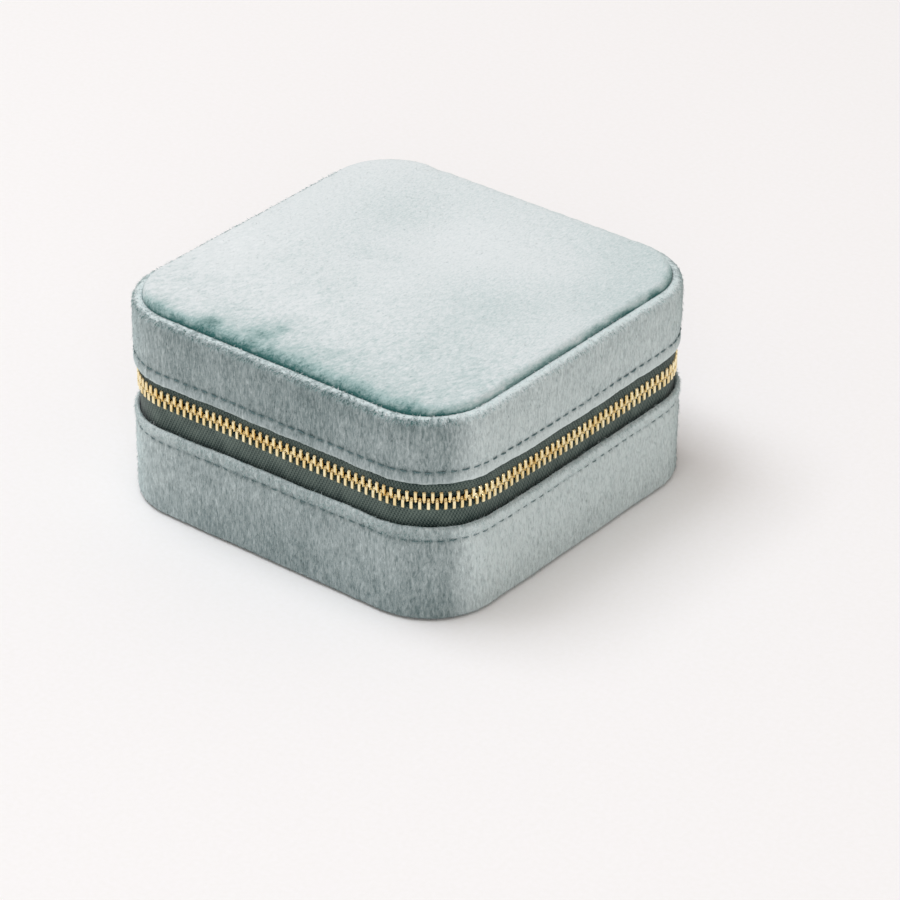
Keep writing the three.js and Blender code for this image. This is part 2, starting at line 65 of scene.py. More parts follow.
def cad_box(node):
    """A CAD node's lowest and highest corners, in millimetres."""
    low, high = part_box(node)
    return np.array(low) / MM, np.array(high) / MM


# ---- Dimensions ----

LID_LOW, LID_HIGH = cad_box("lid_side_velvet")
BASE_HIGH = cad_box("base_side_velvet")[1]
HALF = LID_HIGH[0]
CORNER_RADIUS = 18.0
CHAIN_HEIGHT = 30.2
ZIP_END = 22.0
TAPE_INSET = 1.5
PILE_CELL = 0.4


# ---- Noise ----


class Noise:
    """Smooth value noise over space, from -1 to 1, with lattice cells one unit wide."""

    def __init__(self, seed):
        draw = np.random.default_rng(seed)
        self.order = np.tile(draw.permutation(256), 2)
        self.values = draw.uniform(-1, 1, 256)

    def __call__(self, points):
        cell = np.floor(points).astype(int)
        t = points - cell
        t = t * t * (3 - 2 * t)
        total = np.zeros(points.shape[:-1])
        for corner in range(8):
            step = np.array([corner & 1, corner >> 1 & 1, corner >> 2 & 1])
            x, y, z = np.moveaxis((cell + step) & 255, -1, 0)
            value = self.values[self.order[self.order[self.order[x] + y] + z]]
            total += value * np.where(step, t, 1 - t).prod(-1)
        return total


def smoothstep(low, high, x):
    """A smooth step from 0 at low to 1 at high, which may be below low."""
    t = np.clip((x - low) / (high - low), 0, 1)
    return t * t * (3 - 2 * t)


def strands(points, lay, width, length, seed, sway=1.6):
    """Noise drawn out into strands along lay, which sway a little from place to place."""
    bend = Noise(seed + 50)(points / 7)[..., None] * np.cross(lay, [0.3, 0.5, 0.8])
    points = points + sway * bend
    along = (points @ lay)[..., None] * lay
    return Noise(seed)((points - along) / width + along / length)


def pile(points, lay, seed, length=2.9):
    """(how far the pile stands up, how light it looks) at each point, about -1 to 1."""
    coarse = strands(points, lay, 0.55, length, seed)
    fine = strands(points, lay, 0.42, 0.6 * length, seed + 1)
    mottle = Noise(seed + 2)(points / 5.5)
    patch = Noise(seed + 3)(points / 14)
    stand = 0.6 * coarse + 0.4 * fine
    # Lightness follows the strands' height, so the pile's hollows get painted shade.
    light = 0.38 * coarse + 0.34 * fine + 0.16 * mottle + 0.26 * patch
    return stand, light


# ---- The wall's outline ----


class Outline:
    """A rounded square, walked anticlockwise from the middle of the back."""

    def __init__(self, half, radius):
        self.half = half
        self.radius = radius
        self.straight = half - radius
        self.quarter = math.pi * radius / 2
        self.period = 2 * self.straight + self.quarter
        self.length = 4 * self.period

    def at(self, distance):
        """The points and outward directions, each (n, 2), at these distances along the walk."""
        walked = np.asarray(distance, float) + self.straight
        side = np.floor(walked / self.period)
        rest = walked - side * self.period
        turn = side * math.pi / 2
        facing = np.stack([-np.sin(turn), np.cos(turn)], -1)
        ahead = np.stack([-np.cos(turn), -np.sin(turn)], -1)
        along = np.minimum(rest, 2 * self.straight) - self.straight
        angle = np.maximum(rest - 2 * self.straight, 0) / self.radius
        outward = facing * np.cos(angle)[..., None] + ahead * np.sin(angle)[..., None]
        centre = facing * self.straight + ahead * along[..., None]
        return centre + outward * self.radius, outward

    def loop(self, side_steps, corner_steps):
        """A closed walk with the same number of points on every outline, so that two pair up."""
        distances = []
        for side in range(4):
            start = side * self.period - self.straight
            distances += list(start + np.arange(side_steps) / side_steps * 2 * self.straight)
            start += 2 * self.straight
            distances += list(start + np.arange(corner_steps) / corner_steps * self.quarter)
        return self.at(np.array(distances))


WALL = Outline(HALF, CORNER_RADIUS)


def eased(distance, knots):
    """Values at (distance, value) knots along the wall, with smooth steps between them."""
    places, values = np.array(knots, float).T
    k = np.clip(np.searchsorted(places, distance) - 1, 0, len(places) - 2)
    t = smoothstep(0, 1, (distance - places[k]) / (places[k + 1] - places[k]))
    return values[k] + (values[k + 1] - values[k]) * t


# The zip and the lips do not run quite level along the front and the right, so these give their
# rises at distances along the wall.
CHAIN_RISE = [
    (124, 0), (150, 0.3), (178, 0.5), (228, 0.4), (252, -0.8), (277, -1.3), (315, -1.1), (347, 0),
]
LID_LIP_RISE = [
    (80, 0), (124, -0.9), (150, -0.9), (178, -0.6), (230, -0.3), (265, -1.4), (315, -1.2), (345, 0),
]
BASE_LIP_RISE = [
    (80, 0), (124, -1.6), (150, -1.8), (178, -1.2), (230, -0.5), (265, -1.2), (315, -1.1), (345, 0),
]


def rounded(corners, spacing):
    """A closed outline through (x, y, rounding) corners, as points about spacing apart."""
    points = np.array(corners, float)
    place, reach = points[:, :2], points[:, 2:]
    before, after = np.roll(place, 1, 0) - place, np.roll(place, -1, 0) - place
    start = place + before / np.linalg.norm(before, axis=1)[:, None] * reach
    end = place + after / np.linalg.norm(after, axis=1)[:, None] * reach
    t = np.linspace(0, 1, 7)[None, :, None]
    bends = start[:, None] * (1 - t) ** 2 + 2 * place[:, None] * t * (1 - t) + end[:, None] * t**2
    return evenly(bends.reshape(-1, 2), spacing)


def oblong(half_width, low, high, rounding):
    """The corners of an oblong, for rounded."""
    sides = ((-half_width, low), (half_width, low), (half_width, high), (-half_width, high))
    return [(x, y, rounding) for x, y in sides]


def evenly(outline, spacing):
    """A closed outline's points, spread evenly about spacing apart."""
    closed = np.vstack([outline, outline[:1]])
    walked = np.concatenate([[0], np.cumsum(np.linalg.norm(np.diff(closed, axis=0), axis=1))])
    steps = np.linspace(0, walked[-1], round(walked[-1] / spacing), endpoint=False)
    return np.stack([np.interp(steps, walked, closed[:, k]) for k in (0, 1)], -1)


def flat_loop(outline, height):
    """A flat outline's points in space, all at one height."""
    return np.column_stack([outline, np.full(len(outline), height)])


def section_normals(section):
    """The section's outward normals, for a section that goes round in either direction."""
    ahead = np.roll(section, -1, 0) - np.roll(section, 1, 0)
    ahead /= np.linalg.norm(ahead, axis=1)[:, None]
    following = np.roll(section, -1, 0)
    area = (section[:, 0] * following[:, 1] - following[:, 0] * section[:, 1]).sum()
    return np.stack([ahead[:, 1], -ahead[:, 0]], -1) * math.copysign(1, area)


def swept(section, distances, rise=0.0):
    """A section of (inset, height) carried along the wall: its points and their normals."""
    place, outward = WALL.at(distances)
    normal = section_normals(section)
    inset, height = section.T
    points = np.zeros((len(distances), len(section), 3))
    points[..., :2] = place[:, None] - outward[:, None] * inset[None, :, None]
    points[..., 2] = height + np.reshape(rise, (-1, 1))
    normals = np.zeros_like(points)
    normals[..., :2] = -outward[:, None] * normal[None, :, :1]
    normals[..., 2] = normal[:, 1]
    return points, normals


# ---- Meshes ----


def grid_faces(rows, columns, wrap_rows=False, wrap_columns=True):
    """The quads of a grid of points numbered row by row."""
    i = np.arange(rows if wrap_rows else rows - 1)[:, None]
    j = np.arange(columns if wrap_columns else columns - 1)[None]
    i_next, j_next = (i + 1) % rows, (j + 1) % columns
    corners = [i * columns + j, i_next * columns + j, i_next * columns + j_next, i * columns + j_next]
    return np.stack([np.broadcast_to(c, (i.size, j.size)) for c in corners], -1).reshape(-1, 4).tolist()


def tube_faces(rows, columns):
    """The quads of a stack of loops, and a face over each end."""
    last = (rows - 1) * columns
    ends = [list(range(columns)), [last + j for j in reversed(range(columns))]]
    return grid_faces(rows, columns) + ends


def paint(mesh, name, values):
    """Gives each point of a mesh a value that its material reads."""
    attribute = mesh.attributes.get(name) or mesh.attributes.new(name, "FLOAT", "POINT")
    attribute.data.foreach_set("value", np.ravel(values).astype(np.float32))


def make(name, points, faces, material, nap=None, smooth=True):
    """A mesh object of these points, in millimetres, with its nap lightness if it has one."""
    mesh = bpy.data.meshes.new(name)
    mesh.from_pydata((np.reshape(points, (-1, 3)) * MM).tolist(), [], faces)
    if nap is not None:
        paint(mesh, "nap", nap)
    bm = bmesh.new()
    bm.from_mesh(mesh)
    bmesh.ops.recalc_face_normals(bm, faces=bm.faces)
    bm.to_mesh(mesh)
    bm.free()
    mesh.polygons.foreach_set("use_smooth", [smooth] * len(mesh.polygons))
    mesh.materials.append(material)
    piece = bpy.data.objects.new(name, mesh)
    bpy.context.scene.collection.objects.link(piece)
    return piece


def place_piece(piece, body, replaced=()):
    """Puts a piece on its body, in place of CAD nodes."""
    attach(piece, body)
    if replaced:
        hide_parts(*replaced)
    return piece


# ---- Materials ----


def linear(red, green, blue):
    """A colour from its 0 to 255 screen values."""
    shades = (red, green, blue)
    return [((c / 255 + 0.055) / 1.055) ** 2.4 if c > 10 else c / 3295 for c in shades] + [1.0]


class Nodes:
    """A new material's node tree, with its shader."""

    def __init__(self, name, roughness, metallic=0.0):
        self.material = bpy.data.materials.new(name)
        self.material.use_nodes = True
        self.tree = self.material.node_tree
        self.shader = self.tree.nodes["Principled BSDF"]
        self.shader.inputs["Roughness"].default_value = roughness
        self.shader.inputs["Metallic"].default_value = metallic
        self.place = self.add("ShaderNodeTexCoord").outputs["Object"]

    def add(self, kind, **settings):
        """A new node of this kind."""
        node = self.tree.nodes.new(kind)
        for name, value in settings.items():
            setattr(node, name, value)
        return node

    def join(self, source, target):
        self.tree.links.new(source, target)

    def noise(self, size, stretch=(1, 1, 1), detail=2.0, sway=0.0):
        """Noise with features about size millimetres across, drawn out by stretch."""
        scale = self.add("ShaderNodeMapping")
        scale.inputs["Scale"].default_value = [1 / (size * MM * s) for s in stretch]
        texture = self.add("ShaderNodeTexNoise")
        texture.inputs["Scale"].default_value = 1.0
        texture.inputs["Detail"].default_value = detail
        texture.inputs["Distortion"].default_value = sway
        self.join(self.place, scale.inputs["Vector"])
        self.join(scale.outputs["Vector"], texture.inputs["Vector"])
        return texture.outputs["Fac"]

    def attribute(self, name):
        """A value that paint gave the mesh."""
        return self.add("ShaderNodeAttribute", attribute_name=name).outputs["Fac"]

    def maths(self, operation, first, second):
        """A sum or other operation on two sockets or numbers."""
        node = self.add("ShaderNodeMath", operation=operation)
        for socket, value in zip(node.inputs, (first, second)):
            if isinstance(value, (int, float)):
                socket.default_value = value
            else:
                self.join(value, socket)
        return node.outputs[0]

    def ramp(self, value, stops):
        """A colour from a value, through (position, colour) stops."""
        node = self.add("ShaderNodeValToRGB")
        elements = node.color_ramp.elements
        while len(elements) < len(stops):
            elements.new(0.5)
        for element, (position, colour) in zip(elements, stops):
            element.position = position
            element.color = colour
        self.join(value, node.inputs["Fac"])
        return node.outputs["Color"]

    def colour(self, socket):
        self.join(socket, self.shader.inputs["Base Color"])

    def bump(self, height, depth, strength=1.0):
        """Bump from a height of 0 to 1, depth millimetres deep."""
        node = self.add("ShaderNodeBump")
        node.inputs["Distance"].default_value = depth * MM
        node.inputs["Strength"].default_value = strength
        self.join(height, node.inputs["Height"])
        self.join(node.outputs["Normal"], self.shader.inputs["Normal"])

    def roughen(self, value, low, high):
        """Roughness between low and high, by a value of 0 to 1."""
        node = self.add("ShaderNodeMapRange")
        node.inputs["To Min"].default_value = low
        node.inputs["To Max"].default_value = high
        self.join(value, node.inputs["Value"])
        self.join(node.outputs["Result"], self.shader.inputs["Roughness"])


def velvet(name, shades, sheen, tint, contrast, strand=(1, 1, 2.6)):
    """Brushed velvet: shades are its colours from deep in the pile to the tips of the strands, and
    contrast is how much single strands differ."""
    nodes = Nodes(name, 0.9)
    fine = nodes.noise(0.4, strand, sway=0.7)
    fuzz = nodes.noise(0.16)
    # The noise that raises strands in the bump also lightens them: painted shade between strands.
    nap = nodes.maths("ADD", nodes.attribute("nap"), nodes.maths("MULTIPLY", fine, contrast))
    nap = nodes.maths("ADD", nap, nodes.maths("MULTIPLY", fuzz, contrast / 2))
    nap = nodes.maths("SUBTRACT", nap, 0.75 * contrast)
    positions = np.linspace(0, 1, len(shades))
    stops = [(position, linear(*shade)) for position, shade in zip(positions, shades)]
    nodes.colour(nodes.ramp(nap, stops))
    nodes.bump(nodes.maths("ADD", fine, fuzz), 0.12, 0.6)
    nodes.shader.inputs["Specular IOR Level"].default_value = 0.15
    nodes.shader.inputs["Sheen Weight"].default_value = sheen
    nodes.shader.inputs["Sheen Roughness"].default_value = 0.38
    nodes.shader.inputs["Sheen Tint"].default_value = tint
    return nodes.material


def woven(name, dark, light, sheen=0.15):
    """Woven zip tape: twill and row count its yarns both ways, and nap says how light the weave is."""
    nodes = Nodes(name, 0.85)
    yarn = nodes.noise(0.24)
    rib, row = (
        nodes.maths("SINE", nodes.maths("MULTIPLY", nodes.attribute(name), 2 * math.pi), 0)
        for name in ("twill", "row")
    )
    crossing = nodes.maths("ADD", nodes.maths("MULTIPLY", rib, row), nodes.maths("MULTIPLY", rib, 0.6))
    value = nodes.maths("ADD", nodes.attribute("nap"), nodes.maths("MULTIPLY", yarn, 0.7))
    value = nodes.maths("ADD", value, nodes.maths("MULTIPLY", crossing, 0.3))
    nodes.colour(nodes.ramp(nodes.maths("SUBTRACT", value, 0.35), [(0, dark), (1, light)]))
    nodes.bump(nodes.maths("ADD", yarn, nodes.maths("MULTIPLY", crossing, 0.4)), 0.08, 0.8)
    nodes.shader.inputs["Specular IOR Level"].default_value = 0.2
    nodes.shader.inputs["Sheen Weight"].default_value = sheen
    return nodes.material


def brass(name):
    """Polished pale brass with faint tumbling marks."""
    nodes = Nodes(name, 0.25, 1.0)
    cloud = nodes.noise(3.0)
    marks = nodes.noise(0.2, (1, 1, 4))
    pale, deep = linear(255, 243, 202), linear(242, 216, 156)
    nodes.colour(nodes.ramp(cloud, [(0.3, deep), (0.7, pale)]))
    nodes.roughen(marks, 0.16, 0.3)
    nodes.bump(marks, 0.004, 0.3)
    return nodes.material


def board(name, colour, grain):
    """Stiff board or moulded shell with a fine grain."""
    nodes = Nodes(name, 0.6)
    grain_noise = nodes.noise(grain)
    shade = [0.7 * c for c in colour[:3]] + [1.0]
    nodes.colour(nodes.ramp(grain_noise, [(0.3, shade), (0.7, colour)]))
    nodes.bump(grain_noise, 0.03)
    nodes.roughen(grain_noise, 0.5, 0.75)
    return nodes.material


def thread(name):
    """Twisted sewing thread."""
    nodes = Nodes(name, 0.7)
    twist = nodes.noise(0.18)
    nodes.colour(nodes.ramp(twist, [(0.35, linear(56, 82, 86)), (0.65, linear(110, 138, 140))]))
    nodes.bump(twist, 0.04)
    return nodes.material


def mirror_glass(name):
    """Silvered glass, with the faintest haze."""
    nodes = Nodes(name, 0.02, 1.0)
    haze = nodes.noise(9)
    nodes.colour(nodes.ramp(haze, [(0.2, linear(232, 236, 238)), (0.8, linear(240, 243, 244))]))
    nodes.roughen(haze, 0.01, 0.04)
    return nodes.material


def paper_floor(name):
    """The pale, matt surface that the case stands on."""
    nodes = Nodes(name, 0.8)
    tooth = nodes.noise(1.2)
    nodes.colour(nodes.ramp(tooth, [(0.3, linear(244, 243, 242)), (0.7, linear(246, 245, 245))]))
    nodes.bump(tooth, 0.01, 0.3)
    nodes.shader.inputs["Specular IOR Level"].default_value = 0.1
    return nodes.material


TINT = linear(214, 236, 236)
SIDE_SHADES = [(58, 84, 86), (121, 136, 137), (172, 184, 185), (213, 225, 225)]
# The top's shades are paler than the walls': painted sheen of the overhead light on the same velvet.
TOP_SHEEN_SHADES = [(56, 106, 104), (164, 188, 187), (220, 227, 228), (240, 244, 245)]
LINING_SHADES = [(60, 88, 88), (120, 145, 144), (158, 178, 176), (188, 204, 202)]

SIDE_VELVET = velvet("side_velvet", SIDE_SHADES, 0.5, TINT, 0.8, strand=(1, 1, 3.6))
TOP_VELVET = velvet("top_velvet", TOP_SHEEN_SHADES, 0.4, TINT, 0.42, strand=(1, 2.4, 1))
LINING_VELVET = velvet("lining_velvet", LINING_SHADES, 0.4, TINT, 0.4)
TAPE_WEAVE = woven("zip_tape_weave", linear(9, 37, 37), linear(110, 125, 118))
BRASS = brass("brass")
SHELL_BOARD = board("shell_board", linear(58, 62, 63), 0.5)
BACKING_BOARD = board("backing_board", linear(150, 142, 130), 0.8)
THREAD = thread("stitching_thread")
MIRROR = mirror_glass("mirror_glass")
FLOOR = paper_floor("pale_floor")


# ---- Cloth simulation ----

SIM_SCALE = 10
SIM_FRAMES = 20


def inflated(points, faces, pinned, pressure, limit):
    """The points of a form after cloth simulation under pressure. It runs on a copy SIM_SCALE times
    the size, since cloth is steadier there, and no point moves further than limit."""
    mesh = bpy.data.meshes.new("cloth_copy")
    mesh.from_pydata((points * MM * SIM_SCALE).tolist(), [], faces)
    copy = bpy.data.objects.new("cloth_copy", mesh)
    bpy.context.scene.collection.objects.link(copy)
    group = copy.vertex_groups.new(name="pinned")
    group.add(np.nonzero(pinned)[0].tolist(), 1.0, "REPLACE")
    cloth = copy.modifiers.new("cloth", "CLOTH")
    settings = cloth.settings
    settings.quality = 6
    settings.mass = 0.3
    settings.tension_stiffness = 12
    settings.compression_stiffness = 12
    settings.shear_stiffness = 4
    settings.bending_stiffness = 0.4
    settings.use_pressure = True
    settings.uniform_pressure_force = pressure
    settings.effector_weights.gravity = 0
    settings.vertex_group_mass = "pinned"
    settings.shrink_min = -0.015
    cloth.collision_settings.use_self_collision = False
    cloth.point_cache.frame_start = 1
    cloth.point_cache.frame_end = SIM_FRAMES
    for step in range(1, SIM_FRAMES + 1):
        bpy.context.scene.frame_set(step)
    evaluated = copy.evaluated_get(bpy.context.evaluated_depsgraph_get()).to_mesh()
    moved = np.zeros(len(points) * 3, np.float32)
    evaluated.vertices.foreach_get("co", moved)
    bpy.data.objects.remove(copy)
    bpy.context.scene.frame_set(1)
    shift = moved.reshape(-1, 3) / MM / SIM_SCALE - points
    far = np.linalg.norm(shift, axis=1)[:, None]
    return points + shift * np.minimum(1, limit / np.maximum(far, 1e-9))


# ---- Velvet bands round the base and the lid ----

# Outlines of the bands, as (inset, height, rounding).
LID_SECTION = [
    (0.95, 36.3, 0.3), (0.65, 35.4, 0.35), (0.05, 35.4, 0.5), (-0.12, 37.0, 0.9), (0.26, 38.7, 0.5),
    (-0.05, 40.4, 1.0), (-0.05, 51.05, 2.1), (2.6, 51.05, 0.4), (2.6, 48.4, 0.2), (0.95, 48.4, 0.2),
]
BASE_SECTION = [
    (0.95, 23.8, 0.3), (0.7, 24.6, 0.4), (0.0, 24.6, 0.7), (-0.28, 22.9, 1.1), (0.32, 21.1, 0.5),
    (-0.05, 19.4, 1.0), (-0.05, 0.3, 1.1), (0.95, 0.3, 0.3),
]
STITCH_PITCH = 2.84
PILE_DEPTH = 0.13
FLOOR_GAP = 0.1


def stations(spacing):
    """Distances all round the wall, about spacing apart."""
    count = round(WALL.length / spacing)
    return np.arange(count) / count * WALL.length


def band(name, corners, stitch_height, lip, rise, shade, edge_dark, seed):
    """A velvet band: its object and what its fibres grow from. lip is the height of its sewn edge,
    which rises by rise. shade makes the whole band lighter, painted light, and edge_dark paints
    shade on that edge in place of a highlight, deepest on the walls that are painted lighter."""
    section = rounded(corners, PILE_CELL)
    walk = stations(PILE_CELL)
    points, normals = swept(section, walk)
    inset, height = section.T
    outside = smoothstep(0.85, 0.35, inset) + smoothstep(49.4, 50.3, height) * (inset < 2.3)
    outside = np.clip(outside, 0, 1) * np.ones((len(walk), 1))
    stand, light = pile(points, DOWN, seed)

    turn = walk / WALL.length * 2 * np.pi
    circle = 14 * np.stack([np.cos(turn), np.sin(turn)], -1)
    drift = Noise(seed + 9)(flat_loop(circle, 0.0))[:, None]
    crease = np.exp(-(((height - stitch_height - 0.15 * drift) / 0.45) ** 2)) * outside
    hole = 0.5 + 0.5 * np.cos(2 * np.pi * walk / STITCH_PITCH)[:, None]
    dash = 1 - 0.75 * hole
    wave = Noise(seed + 7)(points / 9)
    lift = PILE_DEPTH * stand * (1 - 0.5 * crease) - 0.16 * crease * hole + 0.12 * wave
    points = points + normals * (lift * outside)[..., None]
    points[..., 2] += 0.16 * drift * np.exp(-(((height - lip) / 1.6) ** 2))
    points[..., 2] += eased(walk, rise)[:, None] * smoothstep(11, 3.5, np.abs(height - lip))

    # The nap: 0 is the darkest shade and 1 the lightest. Much of it is painted light and shade.
    # Painted light on the puffed lip towards its sewn edge, and a painted highlight on the rim's crest.
    lip_light = smoothstep(abs(stitch_height - lip), 0, np.abs(height - lip)) * outside
    rim = smoothstep(0.5, 1.4, inset + 0.4 * stand) * smoothstep(2.6, 2.35, inset) * (height > 49.8)
    # Painted shade under the rim, in the groove by the top panel, and as a dark line along the bottom.
    under_rim_shade = smoothstep(41, 49, height) * smoothstep(1.2, 0.5, inset)
    groove_shade = smoothstep(2.3, 2.55, inset)
    underneath = smoothstep(0.9, 0.3, height)
    # Painted highlight along the sewn edge itself, which edge_dark turns into painted shade.
    fold = np.exp(-(((height - lip) / 0.6) ** 2)) * outside
    out_x, out_y = WALL.at(walk)[1].T[:, :, None]
    # Painted light: the +X wall made much lighter, the -X wall a little, and the front's left end.
    facing = 0.4 * smoothstep(0.75, 1.0, out_x) + 0.14 * smoothstep(0, 0.8, -out_x)
    far_left_light = smoothstep(-16, -38, points[..., 0]) * smoothstep(0, 0.6, -out_y)
    nap = 0.5 + shade + 0.25 * light * (1 - facing) + 0.12 * lip_light
    # Painted shade that darkens the lowest 14 mm of the wall towards the floor.
    nap += (0.12 - edge_dark * (0.15 + facing)) * fold - 0.13 * smoothstep(14, 1, height) * outside
    nap += 0.46 * rim * (0.85 + 1.0 * stand)
    nap += facing + (0.08 + shade) * far_left_light
    # Painted shade in the stitch crease, deepest at the stitch holes.
    nap -= 0.05 * under_rim_shade + 0.38 * crease * dash * (0.8 + 0.5 * stand)
    nap -= 0.5 * groove_shade + 0.4 * underneath
    faces = grid_faces(len(walk), len(section), wrap_rows=True)
    piece = make(name, points, faces, SIDE_VELVET, nap)
    return piece, (points.reshape(-1, 3), normals.reshape(-1, 3), nap.ravel(), outside.ravel())


def spikes(name, roots, directions, lengths, width, shade, material):
    """A pile of fine tapering fibres, each a closed spike. shade is (root, tip) nap for each one."""
    ahead = directions / np.linalg.norm(directions, axis=1)[:, None]
    across = np.cross(ahead, [0.31, 0.52, 0.8])
    across /= np.linalg.norm(across, axis=1)[:, None]
    over = np.cross(ahead, across)
    points = np.empty((len(roots), 4, 3))
    for k in range(3):
        turn = 2 * math.pi * k / 3
        points[:, k] = roots + (across * math.cos(turn) + over * math.sin(turn)) * width / 2
    points[:, 3] = roots + ahead * lengths[:, None]
    first = 4 * np.arange(len(roots))[:, None]
    corners = np.array([[2, 1, 0], [0, 1, 3], [1, 2, 3], [2, 0, 3]])
    faces = (first[:, :, None] + corners[None]).reshape(-1, 3).tolist()
    nap = np.stack([shade[0], shade[0], shade[0], shade[1]], -1)
    return make(name, points, faces, material, nap, smooth=False)


def fibres(
    name, skin, lay, count, seed, material,
    where=None, length=0.9, width=0.12, lean=0.3, contrast=0.07, lighter=0.0,
):
    """Strands of pile that grow from a skin and lie along lay, lifted by lean."""
    points, normals, nap, weight = skin
    weight = weight if where is None else weight * where(points)
    draw = np.random.default_rng(seed)
    chosen = draw.choice(len(points), count, p=weight / weight.sum())
    root, normal = points[chosen], normals[chosen]
    root = root - 0.12 * normal + draw.normal(0, 0.12, (count, 3))
    flow = Noise(seed + 50)(root / 7)[:, None] * np.cross(lay, [0.3, 0.5, 0.8])
    direction = lay + 0.35 * flow + lean * normal + draw.normal(0, 0.16, (count, 3))
    long = length * draw.uniform(0.6, 1.3, count)
    tone = nap[chosen] + lighter + draw.normal(0, contrast, count)
    tips = root[:, 2] + direction[:, 2] * long / np.linalg.norm(direction, axis=1)
    kept = tips > FLOOR_GAP
    # Each fibre is darker at its root than its tip: painted shade down in the pile.
    shade = (tone[kept] - contrast, tone[kept] + contrast)
    return spikes(name, root[kept], direction[kept], long[kept], width, shade, material)


def stitches(name, height, rise, inset, radius, seed):
    """A row of machine stitches round the wall, each one pulled down at its ends."""
    draw = np.random.default_rng(seed)
    count = round(WALL.length / STITCH_PITCH)
    turn = np.linspace(0, 2 * math.pi, 6, endpoint=False)
    ring = np.stack([np.cos(turn), np.sin(turn)], -1)
    t = np.linspace(-1, 1, 7)
    points, faces = [], []
    for i in range(count):
        middle = (i + 0.5) * WALL.length / count + draw.normal(0, 0.1)
        long = draw.uniform(1.75, 2.35)
        level = height + eased(middle, rise) + draw.normal(0, 0.06)
        slope = draw.normal(0, 0.07)
        place, outward = WALL.at(middle + t * long / 2)
        depth = inset + 0.32 * t**4 + abs(draw.normal(0, 0.06))
        taper = radius * np.sqrt(1.05 - t**2)
        axis = np.column_stack([place - outward * depth[:, None], level + slope * t * long / 2])
        out = np.column_stack([outward, np.zeros(len(t))])
        loops = axis[:, None] + taper[:, None, None] * (out[:, None] * ring[:, :1] + UP * ring[:, 1:])
        first = i * len(t) * len(turn)
        faces += [[first + k for k in face] for face in tube_faces(len(t), len(turn))]
        points.append(loops.reshape(-1, 3))
    return make(name, np.array(points), faces, THREAD)


RIM_TOP = LID_HIGH[2]
LID_STITCH = LID_LOW[2] + 3.1
BASE_STITCH = BASE_HIGH[2] - 3.3

lid_band, lid_skin = band(
    "lid_velvet_band", LID_SECTION, LID_STITCH, LID_LOW[2], LID_LIP_RISE, 0, 0, 11
)
base_band, base_skin = band(
    "base_velvet_band", BASE_SECTION, BASE_STITCH, BASE_HIGH[2], BASE_LIP_RISE, 0.07, 1.0, 31
)
place_piece(lid_band, "lid", ["lid_side_velvet"])
place_piece(base_band, "base", ["base_side_velvet"])


def above_lip(points):
    return points[:, 2] > LID_LOW[2] + 1.3


def on_rim(points):
    return smoothstep(RIM_TOP - 1.2, RIM_TOP - 0.2, points[:, 2]) * smoothstep(48, 25, points[:, 1])


def on_base_lip(points):
    return smoothstep(BASE_STITCH - 1.5, BASE_STITCH + 1, points[:, 2])


TRIMMINGS = [
    ("lid", fibres("lid_band_pile", lid_skin, DOWN, 15000, 41, SIDE_VELVET, where=above_lip)),
    ("base", fibres("base_band_pile", base_skin, DOWN, 22000, 42, SIDE_VELVET)),
    ("lid", fibres(
        "lid_rim_tufts", lid_skin, DOWN * 0.6, 12000, 43, TOP_VELVET, where=on_rim,
        length=0.85, width=0.15, lean=0.5, contrast=0.2, lighter=-0.3,
    )),
    ("base", fibres(
        "base_lip_tufts", base_skin, DOWN * 0.6, 8000, 45, TOP_VELVET, where=on_base_lip,
        length=0.75, lean=0.6, contrast=0.14, lighter=-0.28,
    )),
    ("lid", stitches("lid_stitching", LID_STITCH, LID_LIP_RISE, 0.08, 0.19, 51)),
    ("base", stitches("base_stitching", BASE_STITCH, BASE_LIP_RISE, 0.25, 0.17, 52)),
]
for body, trimming in TRIMMINGS:
    place_piece(trimming, body)


# ---- Padded top panel ----


def square_grid(steps):
    """A square grid's points as (share of the way out, distance round from the middle of the back)
    with the distance from 0 to 1, row by row, and the numbers of its edge points in order."""
    i, j = np.meshgrid(np.arange(-steps, steps + 1), np.arange(-steps, steps + 1), indexing="ij")
    ring = np.maximum(np.abs(i), np.abs(j))
    x, y = i / np.maximum(ring, 1), j / np.maximum(ring, 1)
    around = np.where(
        y >= 1, np.where(x <= 0, -x, 8 - x),
        np.where(x <= -1, 2 - y, np.where(y <= -1, 4 + x, 6 + y)),
    )
    edge = np.nonzero((ring == steps).ravel())[0]
    return ring.ravel(), (around / 8).ravel(), edge[np.argsort(around.ravel()[edge])]


def spread(field, steps):
    """A coarse square grid's values on a finer grid, smoothed to hide the coarse cells."""
    coarse = (len(field) - 1) // 2
    at = np.linspace(0, 2 * coarse, 2 * steps + 1)
    low = np.minimum(at.astype(int), 2 * coarse - 1)
    t = at - low
    rows = field[low] * (1 - t)[:, None] + field[low + 1] * t[:, None]
    fine = rows[:, low] * (1 - t) + rows[:, low + 1] * t
    for _ in range(4):
        padded = np.pad(fine, 1, mode="edge")
        fine = (padded[:-2, 1:-1] + padded[2:, 1:-1] + padded[1:-1, :-2] + padded[1:-1, 2:]) / 4
    return fine


def square_faces(steps):
    return grid_faces(2 * steps + 1, 2 * steps + 1, wrap_columns=False)


def billow(outline, pressure, limit, steps=30):
    """How high a cloth cover held at its edges rises over a pad, on a square grid."""
    ring, around, edge = square_grid(steps)
    points = np.zeros((len(ring), 3))
    points[:, :2] = outline.at(around * outline.length)[0] * (ring / steps)[:, None]
    risen = inflated(points, square_faces(steps), ring == steps, pressure, limit)
    return risen[:, 2].reshape(2 * steps + 1, -1)


EDGE_DEPTHS = [0, 0.06, 0.2, 0.42, 0.7, 1.05, 1.45]


